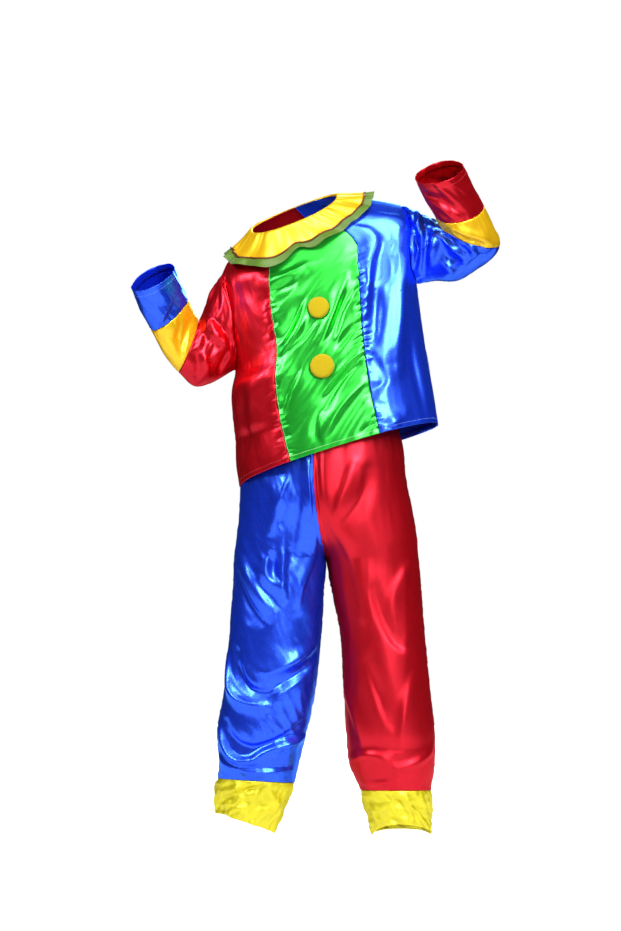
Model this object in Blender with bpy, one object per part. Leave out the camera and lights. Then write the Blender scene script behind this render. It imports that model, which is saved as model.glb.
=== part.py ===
"""Worn clown costume: a satin tunic in colour blocks with a ruffled collar, and trousers.

The frame is in metres, +Z up, front towards -Y and the wearer's left towards +X. The origin
is the middle of the neck opening. Sizes in the tables are in millimetres and degrees.
"""

import bmesh
import bpy
import numpy as np

MM = 0.001

# Walls and spaces
SATIN_WALL = 1.5
RUFFLE_WALL = 1.2
RIBBON_WALL = 1.0
CASING_WALL = 2.5
SEAM_SPACE = 0.34
LAP_SPACE = 0.6

# Sections of the tunic body, from the hem up to the neck. The right and left points are its
# two sides, front and back are its depths from the middle, and a rise lifts that face. The
# seam angles bound the green front panel.
TORSO = (
    # station, right_x, right_z, left_x, left_z, front, front_rise, back, back_rise, seam_right, seam_left
    (0, -124, -630, 331, -490, 165, 25, 158, -9, -28, 22.3),
    (62, -135, -568, 322, -430, 160, 16, 152, -7, -29, 21.7),
    (141, -137, -499, 306, -343, 152, 7, 144, -5, -31, 21.2),
    (222, -135, -430, 291, -251, 146, 0, 137, 0, -31.5, 21),
    (301, -132, -359, 281, -163, 138, -9, 130, 0, -31.5, 21),
    (407, -161, -242, 281, -71, 122, -23, 118, 5, -29.5, 22),
    (517, -152, -113, 244, 18, 94, -46, 92, 14, -30, 24.4),
    (552, -122, -76, 170, 32, 82, -44, 76, 21, -32, 28),
    (584, -97, -37, 97, 39, 72, -32, 62, 21, -36, 34),
)
TORSO_SQUARENESS = 2.35
NECK = 584
ARMPIT = 301
SHOULDER = 517
ARMHOLE_HALF_WIDTH = 32

# Sections of a sleeve after the armhole: its top and low points, the depth of its middle, and
# the way from the middle to the front of the tube.
RIGHT_SLEEVE = (
    # station, top_x, top_z, low_x, low_z, mid_y, front_x, front_y, front_z
    (45, -172, -158, -149, -369, -12, 12, -68, 0),
    (95, -196, -209, -185, -390, -26, 14, -66, 5),
    (135, -210, -240, -227, -400, -42, 12, -63, -5),
    (165, -216, -255, -256, -373, -56, 5, -59, -18),
    (180, -218, -253, -269, -355, -66, 0, -56, -28),
    (215, -229, -235, -295, -316, -90, -5, -52, -30),
    (250, -237, -214, -319, -268, -112, -7, -50, -30),
    (300, -253, -177, -342, -221, -145, -7, -47, -30),
    (335, -264, -148, -357, -179, -170, -7, -45, -30),
)
LEFT_SLEEVE = (
    # station, top_x, top_z, low_x, low_z, mid_y, front_x, front_y, front_z
    (35, 271, 5, 321, -158, -14, -14, -68, 0),
    (70, 297, -10, 370, -159, -30, -21, -66, 0),
    (105, 316, -20, 421, -131, -48, -21, -63, -7),
    (135, 325, -29, 454, -106, -64, -14, -60, -18),
    (155, 326, -31, 466, -82, -76, -7, -58, -28),
    (190, 322, -29, 448, -38, -100, 2, -55, -30),
    (210, 318, -24, 426, 3, -116, 5, -53, -30),
    (255, 291, 15, 397, 48, -146, 5, -51, -29),
    (295, 271, 53, 375, 84, -172, 5, -50, -28),
)
RIGHT_BAND = 172
RIGHT_CUFF = 250
LEFT_BAND = 155
LEFT_CUFF = 210

# Sections that both legs share, from the waistband down to the crotch.
HIPS = (
    # station, right_x, right_z, left_x, left_z, middle_x, middle_z, front, back
    (-38, -66, -440, 208, -376, 71, -402, 98, 103),
    (0, -74, -476, 202, -412, 64, -439, 100, 105),
    (92, -106, -550, 246, -518, 46, -531, 118, 120),
    (176, -121.3, -619, 258, -614, 45, -614, 124, 130),
    (267, -127, -706, 276, -706, 55, -706, 120, 130),
    (313, -132, -752, 283, -752, 64, -754, 116, 124),
    (350, -136, -789, 286, -789, 72, -789, 112, 118),
)
RIGHT_LEG = (
    # station, outer_x, outer_z, inner_x, inner_z, mid_y, half_depth, front_rise
    (420, -140, -856, 69, -862, 0, 99, 0),
    (532, -148, -966, 62, -975, 0, 99, 0),
    (665, -162, -1106, 46, -1113, -4, 98, 0),
    (765, -177, -1200, 26, -1205, -4, 96, 0),
    (820, -172, -1258, 11, -1265, 0, 92, 6),
    (866, -175, -1300, 0, -1311, 0, 84, 12),
    (916, -177, -1341, -21, -1368, 0, 77, 13),
    (964, -176, -1380, -45, -1426, 0, 72, 15),
)
LEFT_LEG = (
    # station, outer_x, outer_z, inner_x, inner_z, mid_y, half_depth, front_rise
    (420, 292, -856, 84, -856, -2, 99, 0),
    (532, 300, -965, 106, -965, -8, 99, 0),
    (665, 312, -1095, 114, -1095, -16, 98, 0),
    (765, 323, -1202, 121, -1209, -22, 96, 0),
    (825, 322, -1266, 128, -1266, -24, 92, 6),
    (884, 313, -1323, 153, -1323, -26, 84, 12),
    (930, 313, -1371, 165, -1368, -27, 78, 20),
    (985, 310, -1425, 181, -1425, -28, 73, 36),
)
LEG_SQUARENESS = 2.15
HIP_SQUARENESS = 2.3
THIGH_DEPTH = 0.9
RIGHT_LEG_CUFF = 866
LEFT_LEG_CUFF = 884
CROTCH = 350
SEAT = 200

# Folds: a soft line from its start, past its middle, to its end. Height above zero is a ridge
# and below zero a trough. Degrees run round the piece and stations along it.
TORSO_FOLDS = (
    # start_deg, start_at, middle_deg, middle_at, end_deg, end_at, width, height
    (20, 375, 4, 315, 3, 255, 20, -5),
    (16, 183, 4, 162, -5, 105, 20, -5),
    (16, 132, 2, 98, -5, 45, 20, 4),
    (46, 500, 36, 270, 33, 138, 24, 7),
    (31, 330, 32, 258, 26, 210, 18, -5),
    (51, 396, 46, 219, 40, 174, 20, 5),
    (53, 204, 54, 132, 54, 24, 24, -6),
    (-56, 396, -52, 279, -36, 282, 24, 7),
    (-52, 243, -56, 196, -59, 72, 26, -7),
    (-42, 213, -44, 111, -39, 33, 20, 5),
    (150, 440, 140, 240, 146, 60, 26, 6),
    (-140, 400, -150, 220, -138, 40, 26, 6),
    (178, 330, 172, 200, 176, 60, 24, -6),
)
RIGHT_SLEEVE_FOLDS = (
    # start_deg, start_at, middle_deg, middle_at, end_deg, end_at, width, height
    (80, 50, 84, 76, 88, 102, 13, 4),
    (56, 122, 10, 92, -36, 51, 12, 6),
    (36, 134, 3, 116, -33, 60, 10, -5),
    (-9, 129, -21, 120, -57, 111, 12, 5),
    (-33, 51, -38, 76, -60, 84, 12, -4),
    (36, 228, 18, 214, -3, 200, 12, -4),
    (160, 120, 200, 90, 230, 60, 14, 5),
)
LEFT_SLEEVE_FOLDS = (
    # start_deg, start_at, middle_deg, middle_at, end_deg, end_at, width, height
    (72, 51, 33, 64, 18, 36, 11, 5),
    (21, 54, -6, 50, -33, 20, 11, 5),
    (21, 90, 9, 78, -39, 42, 10, 5),
    (36, 8, -6, 34, -24, 16, 11, -5),
    (12, 99, -15, 116, -42, 102, 11, 6),
    (-15, 87, -39, 81, -51, 87, 10, -5),
    (36, 195, 12, 171, -24, 159, 11, -5),
    (45, 204, 16, 194, -30, 177, 11, 5),
    (150, 100, 190, 70, 230, 60, 14, 5),
)
RIGHT_LEG_FOLDS = (
    # start_deg, start_at, middle_deg, middle_at, end_deg, end_at, width, height
    (10, 328, 28, 398, -2, 412, 18, 5),
    (48, 360, 22, 448, 4, 472, 20, 7),
    (56, 392, 34, 472, 12, 504, 18, -6),
    (70, 580, 54, 684, 6, 676, 17, 8),
    (-58, 580, -24, 620, 2, 644, 18, -7),
    (62, 748, 38, 832, 6, 804, 16, 8),
    (6, 804, -21, 762, -68, 760, 16, 8),
    (52, 724, 20, 836, -52, 724, 18, -6),
    (-16, 168, -9, 204, 10, 288, 18, 6),
    (150, 420, 200, 520, 230, 540, 22, 7),
    (130, 760, 180, 830, 240, 770, 20, 8),
)
LEFT_LEG_FOLDS = (
    # start_deg, start_at, middle_deg, middle_at, end_deg, end_at, width, height
    (8, 156, 6, 214, -28, 264, 17, -6),
    (-8, 140, -21, 194, -38, 256, 17, 5),
    (-46, 264, -10, 346, -22, 484, 24, 7),
    (-4, 424, 4, 550, 28, 556, 22, -7),
    (-24, 596, -11, 672, -2, 716, 22, -6),
    (58, 348, 24, 404, 14, 476, 20, 6),
    (-86, 832, -21, 752, 0, 832, 16, 8),
    (0, 832, 25, 822, 62, 788, 16, 8),
    (-64, 788, -18, 778, 36, 776, 18, -6),
    (34, 632, 16, 704, 14, 760, 20, 6),
    (140, 400, 190, 500, 230, 560, 24, 7),
    (120, 790, 180, 850, 240, 800, 20, 8),
)

# The ruffle, outwards from the neck seam: yellow cloth, then the piping, then the ribbon.
RUFFLE_WIDTH = 62
PIPING_EDGE = 66
RIBBON_EDGE = 84
RUFFLE_WAVES = (
    # degrees, spread, height, reach
    (-172, 9, 9, 2),
    (-146, 8, 8, 3),
    (-122, 9, 10, 2),
    (-97, 8, 9, 2),
    (-74, 8, 11, 4),
    (-52, 8, 12, 5),
    (-30, 8, 11, 4),
    (-10, 7, 8, 2),
    (11, 8, 9, 4),
    (33, 8, 8, 2),
    (56, 9, 7, 2),
    (80, 9, 7, 2),
    (104, 9, 8, 2),
    (128, 9, 9, 3),
    (154, 9, 9, 2),
)

BUTTONS = (
    # name, degrees, station, radius, height
    ("button_upper", -3, 354, 25, 11),
    ("button_lower", -4, 207, 28, 12),
)

SATIN_RED = ("satin_red", (0.66, 0.005, 0.023), 0.3, 0.0)
SATIN_GREEN = ("satin_green", (0.03, 0.6, 0.04), 0.3, 0.0)
SATIN_BLUE = ("satin_blue", (0.012, 0.045, 0.7), 0.3, 0.0)
SATIN_YELLOW = ("satin_yellow", (0.87, 0.58, 0.02), 0.35, 0.0)
SATIN_LEMON = ("satin_lemon", (0.91, 0.78, 0.02), 0.35, 0.0)
ORGANZA_GREEN = ("organza_green", (0.11, 0.5, 0.06), 0.45, 0.0)
PIPING_RED = ("piping_dark_red", (0.2, 0.03, 0.01), 0.4, 0.0)
FELT_YELLOW = ("felt_yellow", (0.8, 0.42, 0.01), 0.9, 0.0)
CASING_RED = ("casing_red", (0.6, 0.005, 0.02), 0.45, 0.0)

# How finely the pieces are divided
BODY_ROWS = 9
ARMHOLE_ROWS = 10
YOKE_ROWS = 4
COLLAR_COLUMNS = 72
LEG_FRONT_COLUMNS = 11
LEG_BACK_COLUMNS = 7
BUTTON_COLUMNS = 24


def clear_scene():
    for item in list(bpy.data.objects):
        bpy.data.objects.remove(item)


def unit(vectors):
    return vectors / np.linalg.norm(vectors, axis=-1, keepdims=True)


def through(stations, values, at):
    """A smooth curve through one value for each station, read at the stations asked for."""
    stations = np.asarray(stations, float)
    at = np.asarray(at, float)
    slopes = np.gradient(values, stations, axis=0)
    low = np.clip(np.searchsorted(stations, at, side="right") - 1, 0, len(stations) - 2)
    gap = stations[low + 1] - stations[low]
    part = (at - stations[low]) / gap
    cells = tuple(np.indices(at.shape))
    shape = part.shape + (1,) * (values.ndim - 1 - at.ndim)
    part, gap = part.reshape(shape), gap.reshape(shape)
    start, end = values[(low,) + cells], values[(low + 1,) + cells]
    leave, arrive = slopes[(low,) + cells] * gap, slopes[(low + 1,) + cells] * gap
    return (
        (2 * part**3 - 3 * part**2 + 1) * start
        + (part**3 - 2 * part**2 + part) * leave
        + (3 * part**2 - 2 * part**3) * end
        + (part**3 - part**2) * arrive
    )


def column_at(table, column, at):
    """One column of a table, read smoothly at the stations asked for."""
    rows = np.asarray(table, float)
    return through(rows[:, 0], rows[:, column].reshape((-1,) + (1,) * at.ndim)
                   * np.ones((1,) + at.shape), at)


def oval(degrees, middle, side, front, back, squareness):
    """One section: 0 degrees is its front, 90 its side point and 180 its back."""
    turn = np.radians(degrees)
    across, ahead = np.sin(turn), np.cos(turn)
    stretch = (abs(across) ** squareness + abs(ahead) ** squareness) ** (-1 / squareness)
    across, ahead = (across * stretch)[..., None], (ahead * stretch)[..., None]
    return middle + side * across + front * np.maximum(ahead, 0) + back * np.maximum(-ahead, 0)


def fold_height(folds, degrees, station, mm_per_degree):
    """How far the folds lift the cloth at each place."""
    height = np.zeros(np.broadcast(degrees, station).shape)
    for begin_deg, begin_at, bend_deg, bend_at, end_deg, end_at, width, rise in folds:
        nearest = np.full(height.shape, np.inf)
        part = np.linspace(0, 1, 9)
        line_deg = (1 - part) ** 2 * begin_deg + 2 * part * (1 - part) * bend_deg + part**2 * end_deg
        line_at = (1 - part) ** 2 * begin_at + 2 * part * (1 - part) * bend_at + part**2 * end_at
        for i in range(8):
            over = (line_deg[i + 1] - line_deg[i]) * mm_per_degree
            down = line_at[i + 1] - line_at[i]
            to_x = ((degrees - line_deg[i] + 180) % 360 - 180) * mm_per_degree
            to_y = station - line_at[i]
            along = np.clip((to_x * over + to_y * down) / (over**2 + down**2), 0, 1)
            nearest = np.minimum(nearest, np.hypot(to_x - along * over, to_y - along * down))
        height += rise * np.exp(-((nearest / width) ** 2))
    return height


def lifted(base, height, facing, degrees, station):
    """The base surface with each point moved out along its normal by the height there."""
    step = 0.5
    along = base(degrees + step, station) - base(degrees - step, station)
    up = base(degrees, station + step) - base(degrees, station - step)
    return base(degrees, station) + unit(np.cross(along, up)) * (facing * height)[..., None]


def torso_base(degrees, station):
    rings = []
    for row in TORSO:
        right, left = np.array([row[1], 0, row[2]]), np.array([row[3], 0, row[4]])
        front, back = np.array([0, -row[5], row[6]]), np.array([0, row[7], row[8]])
        rings.append(oval(degrees, (right + left) / 2, (left - right) / 2, front, back,
                          TORSO_SQUARENESS))
    return through([row[0] for row in TORSO], np.array(rings), station)


def torso(degrees, station):
    """The tunic body: 0 degrees is the front, 90 the wearer's left; stations rise from the hem."""
    degrees, station = np.broadcast_arrays(np.asarray(degrees, float), station)
    height = fold_height(TORSO_FOLDS, degrees, station, 3.4)
    return lifted(torso_base, height, 1, degrees, station)


def armhole_swing(station):
    """Degrees that the armhole's edge stands forward of the side, at this station."""
    middle, half = (ARMPIT + SHOULDER) / 2, (SHOULDER - ARMPIT) / 2
    inside = 1 - ((np.asarray(station, float) - middle) / half) ** 2
    return ARMHOLE_HALF_WIDTH * np.sqrt(np.maximum(inside, 0))


def armhole(side, degrees):
    """The edge that a sleeve is sewn to: 90 degrees is the shoulder and -90 the armpit."""
    turn = np.radians(degrees)
    station = (ARMPIT + SHOULDER) / 2 + (SHOULDER - ARMPIT) / 2 * np.sin(turn)
    return torso(side * (90 - ARMHOLE_HALF_WIDTH * np.cos(turn)), station)


def sleeve_base(side, degrees, station):
    table = LEFT_SLEEVE if side > 0 else RIGHT_SLEEVE
    rings = [armhole(side, degrees)]
    for row in table:
        top, low = np.array([row[1], row[5], row[2]]), np.array([row[3], row[5], row[4]])
        front = np.array(row[6:9])
        rings.append(oval(degrees, (top + low) / 2, (top - low) / 2, front, -front, 2))
    return through([0] + [row[0] for row in table], np.array(rings), station)


def sleeve(side, degrees, station):
    """A sleeve: 90 degrees is its top, 0 its front; stations run from the armhole to the wrist."""
    degrees, station = np.broadcast_arrays(np.asarray(degrees, float), station)
    folds = LEFT_SLEEVE_FOLDS if side > 0 else RIGHT_SLEEVE_FOLDS
    height = fold_height(folds, degrees, station, 1.2) * (1 - np.exp(-(station / 14.0) ** 2))
    return lifted(lambda d, s: sleeve_base(side, d, s), height, -side, degrees, station)


def joined_part(station):
    """1 where one oval runs round both hips, falling in a round curve to 0 at the crotch."""
    down = np.clip((station - SEAT) / (CROTCH - SEAT), 0, 1)
    return np.sqrt(1 - down**2)


def outwards_part(degrees):
    """How far each place of a leg's section lies from its inseam, 0, to its outseam, 1."""
    turn = np.radians(degrees)
    across, ahead = np.sin(turn), np.cos(turn)
    stretch = (abs(across) ** LEG_SQUARENESS + abs(ahead) ** LEG_SQUARENESS) ** (-1 / LEG_SQUARENESS)
    return np.clip((1 + across * stretch) / 2, 0, 1)


def hip_depth(degrees, station):
    """How far the oval round both hips stands forward or back, over each point of a leg's own."""
    reach = (1 - outwards_part(degrees) ** HIP_SQUARENESS) ** (1 / HIP_SQUARENESS)
    level = np.minimum(station, CROTCH)
    in_front = np.cos(np.radians(degrees)) > 0
    return reach * np.where(in_front, column_at(HIPS, 7, level), column_at(HIPS, 8, level))


def leg_rings(side, degrees):
    """Each section of one leg, from the waistband to the hem, with a round of its own."""
    rings = []
    for row in HIPS:
        outer = np.array([row[3], 0, row[4]]) if side > 0 else np.array([row[1], 0, row[2]])
        middle = np.array([row[5], 0, row[6]])
        front, back = np.array([0, -row[7], 0]), np.array([0, row[8], 0])
        rings.append(oval(degrees, (outer + middle) / 2, (outer - middle) / 2,
                          front * THIGH_DEPTH, back * THIGH_DEPTH, LEG_SQUARENESS))
    for row in LEFT_LEG if side > 0 else RIGHT_LEG:
        outer, inner = np.array([row[1], row[5], row[2]]), np.array([row[3], row[5], row[4]])
        front = np.array([0, -row[6], row[7]])
        rings.append(oval(degrees, (outer + inner) / 2, (outer - inner) / 2, front,
                          np.array([0, row[6], 0]), LEG_SQUARENESS))
    return np.array(rings)


def leg_base(side, degrees, station):
    hips = [row[0] for row in HIPS]
    stations = hips + [row[0] for row in (LEFT_LEG if side > 0 else RIGHT_LEG)]
    point = through(stations, leg_rings(side, degrees), station)
    seam_rings = leg_rings(side, np.full(np.shape(degrees), -90.0))
    own_seam = through(stations, seam_rings, station)
    shared_seam = through(hips, seam_rings[: len(hips)], np.minimum(station, CROTCH))
    nearness = np.where(station < CROTCH, 1 - outwards_part(degrees), 0)
    point += (shared_seam - own_seam) * nearness[..., None]
    joined = joined_part(station)
    own, both = abs(point[..., 1]), joined * hip_depth(degrees, station)
    depth = np.cbrt(own**3 * (1 - joined**3) + both**3)
    facing = np.where(np.cos(np.radians(degrees)) > 0, -1, 1)
    point[..., 1] = np.where(joined > 0, facing * depth, point[..., 1])
    return point


def leg(side, degrees, station):
    """A leg: 0 degrees is its front, 90 its outseam, -90 its inseam; stations run down."""
    degrees, station = np.broadcast_arrays(np.asarray(degrees, float), station)
    folds = LEFT_LEG_FOLDS if side > 0 else RIGHT_LEG_FOLDS
    from_inseam = abs((degrees + 90 + 180) % 360 - 180)
    height = fold_height(folds, degrees, station, 1.75) * (1 - np.exp(-(from_inseam / 12.0) ** 2))
    return lifted(lambda d, s: leg_base(side, d, s), height, -side, degrees, station)


def station_below_neck(degrees, distance):
    """The station of each place that lies this far from the neck seam, measured on the cloth."""
    stations = np.linspace(NECK, 440, 37)
    walk = torso(degrees[None, :], stations[:, None])
    steps = np.linalg.norm(np.diff(walk, axis=0), axis=-1)
    run = np.vstack([np.zeros(len(degrees)), np.cumsum(steps, axis=0)])
    return np.array([[np.interp(reach, run[:, i], stations) for i in range(len(degrees))]
                     for reach in distance])


def collar(degrees, distance):
    """The ruffle's upper face: it lies on the tunic, and its waves grow towards its edge."""
    degrees, distance = np.asarray(degrees, float), np.asarray(distance, float)
    lift, reach = np.zeros(len(degrees)), np.zeros(len(degrees))
    for at, spread, height, longer in RUFFLE_WAVES:
        bump = np.exp(-(((degrees - at + 180) % 360 - 180) / spread) ** 2)
        lift += bump * height
        reach += bump * longer
    grown = (distance / RIBBON_EDGE)[:, None]
    station = np.vstack([
        station_below_neck(degrees, [step]) for step in distance
    ])
    around = np.broadcast_to(degrees, station.shape)
    height = RUFFLE_WALL + LAP_SPACE + 1.5 * np.sqrt(grown) + lift * grown**1.2
    point = lifted(torso, height, 1, around, station)
    down = unit(torso(around, station - 1) - torso(around, station))
    return point + down * (reach * grown**2)[..., None]


class Panel:
    """One cut piece: a grid of points on its outer face, and the depth of its two faces."""

    def __init__(self, name, points, facing, finish, wall, ring=False, over=0.0, turns=((), ())):
        self.name = name
        self.points = points
        self.facing = facing
        self.finish = finish
        self.wall = wall
        self.ring = ring
        self.over = over
        self.turns = turns


def rounded(point):
    return tuple(np.round(point, 3))


def corner_normals(panel):
    """The normal at each corner of each cell, as long as the angle that the corner spans."""
    grid = panel.points
    if panel.ring:
        grid = np.concatenate([grid, grid[:, :1]], axis=1)
    corners = (grid[:-1, :-1], grid[1:, :-1], grid[1:, 1:], grid[:-1, 1:])
    normals = []
    for i in range(4):
        ahead, behind = unit(corners[(i + 1) % 4] - corners[i]), unit(corners[i - 1] - corners[i])
        span = np.arccos(np.clip(np.sum(ahead * behind, axis=-1, keepdims=True), -1, 1))
        normals.append(unit(np.cross(behind, ahead)) * span * panel.facing)
    return normals


def shared_normals(panels):
    """Normals that neighbouring pieces agree on, kept by place."""
    normals, owners = {}, {}
    for panel in panels:
        columns = panel.points.shape[1]
        for (down, across), cells in zip(((0, 0), (1, 0), (1, 1), (0, 1)), corner_normals(panel)):
            for i, j in np.ndindex(cells.shape[:2]):
                key = rounded(panel.points[i + down, (j + across) % columns])
                normals[key] = normals.get(key, 0) + cells[i, j]
                owners.setdefault(key, set()).add(panel.name)
    return normals, owners


def is_seam(line, owners):
    return len(owners[rounded(line[len(line) // 2])]) > 1


def edge_shift(line, normals, closed):
    """Moves one edge of a piece back from its seam, within the cloth."""
    if closed:
        tangent = np.roll(line, -1, axis=0) - np.roll(line, 1, axis=0)
    else:
        tangent = np.gradient(line, axis=0)
    sideways = unit(np.cross(tangent, normals))
    if not closed and len(line) > 2:
        sideways[0], sideways[-1] = sideways[1], sideways[-2]
    return sideways * SEAM_SPACE / 2


def trimmed(panel, normals, owners):
    """How far each point of the grid moves so that a seam is left open by its small space."""
    grid = panel.points
    at = np.array([[unit(np.asarray(normals[rounded(p)])) for p in row] for row in grid])
    shift = np.zeros(grid.shape)
    for row, inwards in ((0, -panel.facing), (-1, panel.facing)):
        if is_seam(grid[row], owners):
            shift[row] += inwards * edge_shift(grid[row], at[row], panel.ring)
    if not panel.ring:
        for column, inwards in ((0, panel.facing), (-1, -panel.facing)):
            stops = (0, *panel.turns[column], len(grid) - 1)
            for first, last in zip(stops, stops[1:]):
                part = slice(first, last + 1)
                if is_seam(grid[part, column], owners):
                    shift[part, column] += inwards * edge_shift(grid[part, column], at[part, column],
                                                                False)
    return grid + shift, at


def grid_faces(mesh, corners, ring):
    """Quads over a grid of mesh corners."""
    rows, columns = len(corners), len(corners[0])
    for i in range(rows - 1):
        for j in range(columns if ring else columns - 1):
            k = (j + 1) % columns
            mesh.faces.new((corners[i][j], corners[i + 1][j], corners[i + 1][k], corners[i][k]))


def rim_faces(mesh, outer, inner):
    """Triangles that join the edges of the two faces, split alike on both sides of a seam."""
    for i in range(len(outer)):
        low, high = i, (i + 1) % len(outer)
        if outer[low].co.z > outer[high].co.z:
            low, high = high, low
        mesh.faces.new((outer[low], outer[high], inner[high]))
        mesh.faces.new((outer[low], inner[high], inner[low]))


def build_panel(panel, normals, owners):
    """The closed solid of one piece: its outer face, its inner face and the rims."""
    grid, at = trimmed(panel, normals, owners)
    mesh = bmesh.new()
    faces = []
    for depth in (panel.over, panel.over - panel.wall):
        moved = (grid + at * depth) * MM
        faces.append([[mesh.verts.new(p) for p in row] for row in moved])
    outer, inner = faces
    grid_faces(mesh, outer, panel.ring)
    grid_faces(mesh, inner, panel.ring)
    if panel.ring:
        rim_faces(mesh, outer[0], inner[0])
        rim_faces(mesh, outer[-1], inner[-1])
    else:
        loops = []
        for side in (outer, inner):
            last = len(side[0]) - 1
            loops.append(side[0] + [row[last] for row in side[1:-1]] + side[-1][::-1]
                         + [row[0] for row in side[-2:0:-1]])
        rim_faces(mesh, loops[0], loops[1])
    bmesh.ops.recalc_face_normals(mesh, faces=mesh.faces)
    add_object(panel.name, mesh, panel.finish)


def material(finish):
    name, colour, roughness, metallic = finish
    made = bpy.data.materials.new(name)
    made.use_nodes = True
    shader = made.node_tree.nodes["Principled BSDF"]
    shader.inputs["Base Color"].default_value = (*colour, 1)
    shader.inputs["Roughness"].default_value = roughness
    shader.inputs["Metallic"].default_value = metallic
    made.diffuse_color = (*colour, 1)
    return made


def add_object(name, mesh, finish):
    data = bpy.data.meshes.new(name)
    mesh.to_mesh(data)
    mesh.free()
    data.materials.append(material(finish))
    data.shade_smooth()
    item = bpy.data.objects.new(name, data)
    bpy.context.scene.collection.objects.link(item)


def panel_grid(surface, stations, first_edge, last_edge, columns):
    """Points of a piece between two edges, which are given in degrees for each station."""
    stations = np.asarray(stations, float)[:, None]
    part = np.linspace(0, 1, columns + 1)[None, :]
    degrees = first_edge[:, None] * (1 - part) + last_edge[:, None] * part
    return surface(degrees, stations * np.ones(part.shape))


def tube_grid(surface, stations, degrees):
    return surface(degrees[None, :] * np.ones((len(stations), 1)),
                   np.asarray(stations, float)[:, None] * np.ones((1, len(degrees))))


def tunic_stations():
    turn = np.radians(np.linspace(-90, 90, ARMHOLE_ROWS + 1))
    beside = (ARMPIT + SHOULDER) / 2 + (SHOULDER - ARMPIT) / 2 * np.sin(turn)
    body = np.linspace(0, ARMPIT, BODY_ROWS + 1)[:-1]
    yoke = np.linspace(SHOULDER, NECK, YOKE_ROWS + 1)[1:]
    return np.concatenate([body, beside, yoke])


def tunic_panels():
    stations = tunic_stations()
    swing = armhole_swing(stations)
    right_seam = column_at(TORSO, 9, stations)
    left_seam = column_at(TORSO, 10, stations)
    straight = np.full(len(stations), 180.0)
    armhole_ends = (BODY_ROWS, BODY_ROWS + ARMHOLE_ROWS)
    cuts = (
        # name, first edge, last edge, columns, finish, where each edge turns a corner
        ("tunic_front_red", swing - 90, right_seam, 6, SATIN_RED, (armhole_ends, ())),
        ("tunic_front_green", right_seam, left_seam, 6, SATIN_GREEN, ((), ())),
        ("tunic_front_blue", left_seam, 90 - swing, 6, SATIN_BLUE, ((), armhole_ends)),
        ("tunic_back_blue", 90 + swing, straight, 7, SATIN_BLUE, (armhole_ends, ())),
        ("tunic_back_red", -straight, -90 - swing, 7, SATIN_RED, ((), armhole_ends)),
    )
    return [Panel(name, panel_grid(torso, stations, first, last, columns), 1, finish, SATIN_WALL,
                  turns=turns)
            for name, first, last, columns, finish, turns in cuts]


def sleeve_panels(side, names, ends, rows, finishes):
    """The three tubes of a sleeve, from the armhole to the wrist."""
    panels = []
    degrees = np.arange(2 * ARMHOLE_ROWS) * 180.0 / ARMHOLE_ROWS - 90
    for i in range(3):
        stations = np.linspace(ends[i], ends[i + 1], rows[i] + 1)
        grid = tube_grid(lambda d, s: sleeve(side, d, s), stations, degrees)
        panels.append(Panel(names[i], grid, -side, finishes[i], SATIN_WALL, ring=True))
    return panels


def all_sleeve_panels():
    right = sleeve_panels(
        -1, ("sleeve_right_red", "sleeve_right_band", "sleeve_right_cuff"),
        (0, RIGHT_BAND, RIGHT_CUFF, RIGHT_SLEEVE[-1][0]), (10, 3, 3),
        (SATIN_RED, SATIN_YELLOW, SATIN_BLUE))
    left = sleeve_panels(
        1, ("sleeve_left_blue", "sleeve_left_band", "sleeve_left_cuff"),
        (0, LEFT_BAND, LEFT_CUFF, LEFT_SLEEVE[-1][0]), (10, 3, 3),
        (SATIN_BLUE, SATIN_YELLOW, SATIN_RED))
    return right + left


def leg_stations(seam):
    hips = [0, 45, 92, 134, 176, 222, 267, 295, 318, 336, 346, CROTCH, 385]
    return np.array(hips + list(np.linspace(420, seam, 12)), float)


def leg_degrees():
    """Where the columns of a leg stand, all the way round from its inseam."""
    front = np.linspace(-90, 90, LEG_FRONT_COLUMNS + 1)
    back = np.linspace(90, 270, LEG_BACK_COLUMNS + 1)
    return np.concatenate([front, back[1:]])


def leg_panels(side, front_name, back_name, cuff_name, seam, hem, finish):
    """Front, back and cuff of one leg."""
    stations = leg_stations(seam)
    inner, outer = np.full(len(stations), -90.0), np.full(len(stations), 90.0)

    def surface(degrees, station):
        return leg(side, degrees, station)

    front = panel_grid(surface, stations, inner, outer, LEG_FRONT_COLUMNS)
    back = panel_grid(surface, stations, outer, inner + 360, LEG_BACK_COLUMNS)
    cuff = tube_grid(surface, np.linspace(seam, hem, 4), leg_degrees()[:-1])
    crotch = (int(np.argmax(stations == CROTCH)),)
    return [
        Panel(front_name, front, -side, finish, SATIN_WALL, turns=(crotch, ())),
        Panel(back_name, back, -side, finish, SATIN_WALL, turns=((), crotch)),
        Panel(cuff_name, cuff, -side, SATIN_LEMON, SATIN_WALL, ring=True),
    ]


def waistband_panel():
    """The casing goes on up from the top edges of both legs."""
    stations = np.linspace(HIPS[0][0], 0, 3)
    left = tube_grid(lambda d, s: leg(1, d, s), stations, leg_degrees())
    right = tube_grid(lambda d, s: leg(-1, d, s), stations, leg_degrees())
    grid = np.concatenate([left, right[:, -2:0:-1]], axis=1)
    return Panel("waistband", grid, -1, CASING_RED, CASING_WALL, ring=True)


def trouser_panels():
    right = leg_panels(-1, "leg_right_front", "leg_right_back", "leg_right_cuff",
                       RIGHT_LEG_CUFF, RIGHT_LEG[-1][0], SATIN_BLUE)
    left = leg_panels(1, "leg_left_front", "leg_left_back", "leg_left_cuff",
                      LEFT_LEG_CUFF, LEFT_LEG[-1][0], SATIN_RED)
    return right + left + [waistband_panel()]


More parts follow.
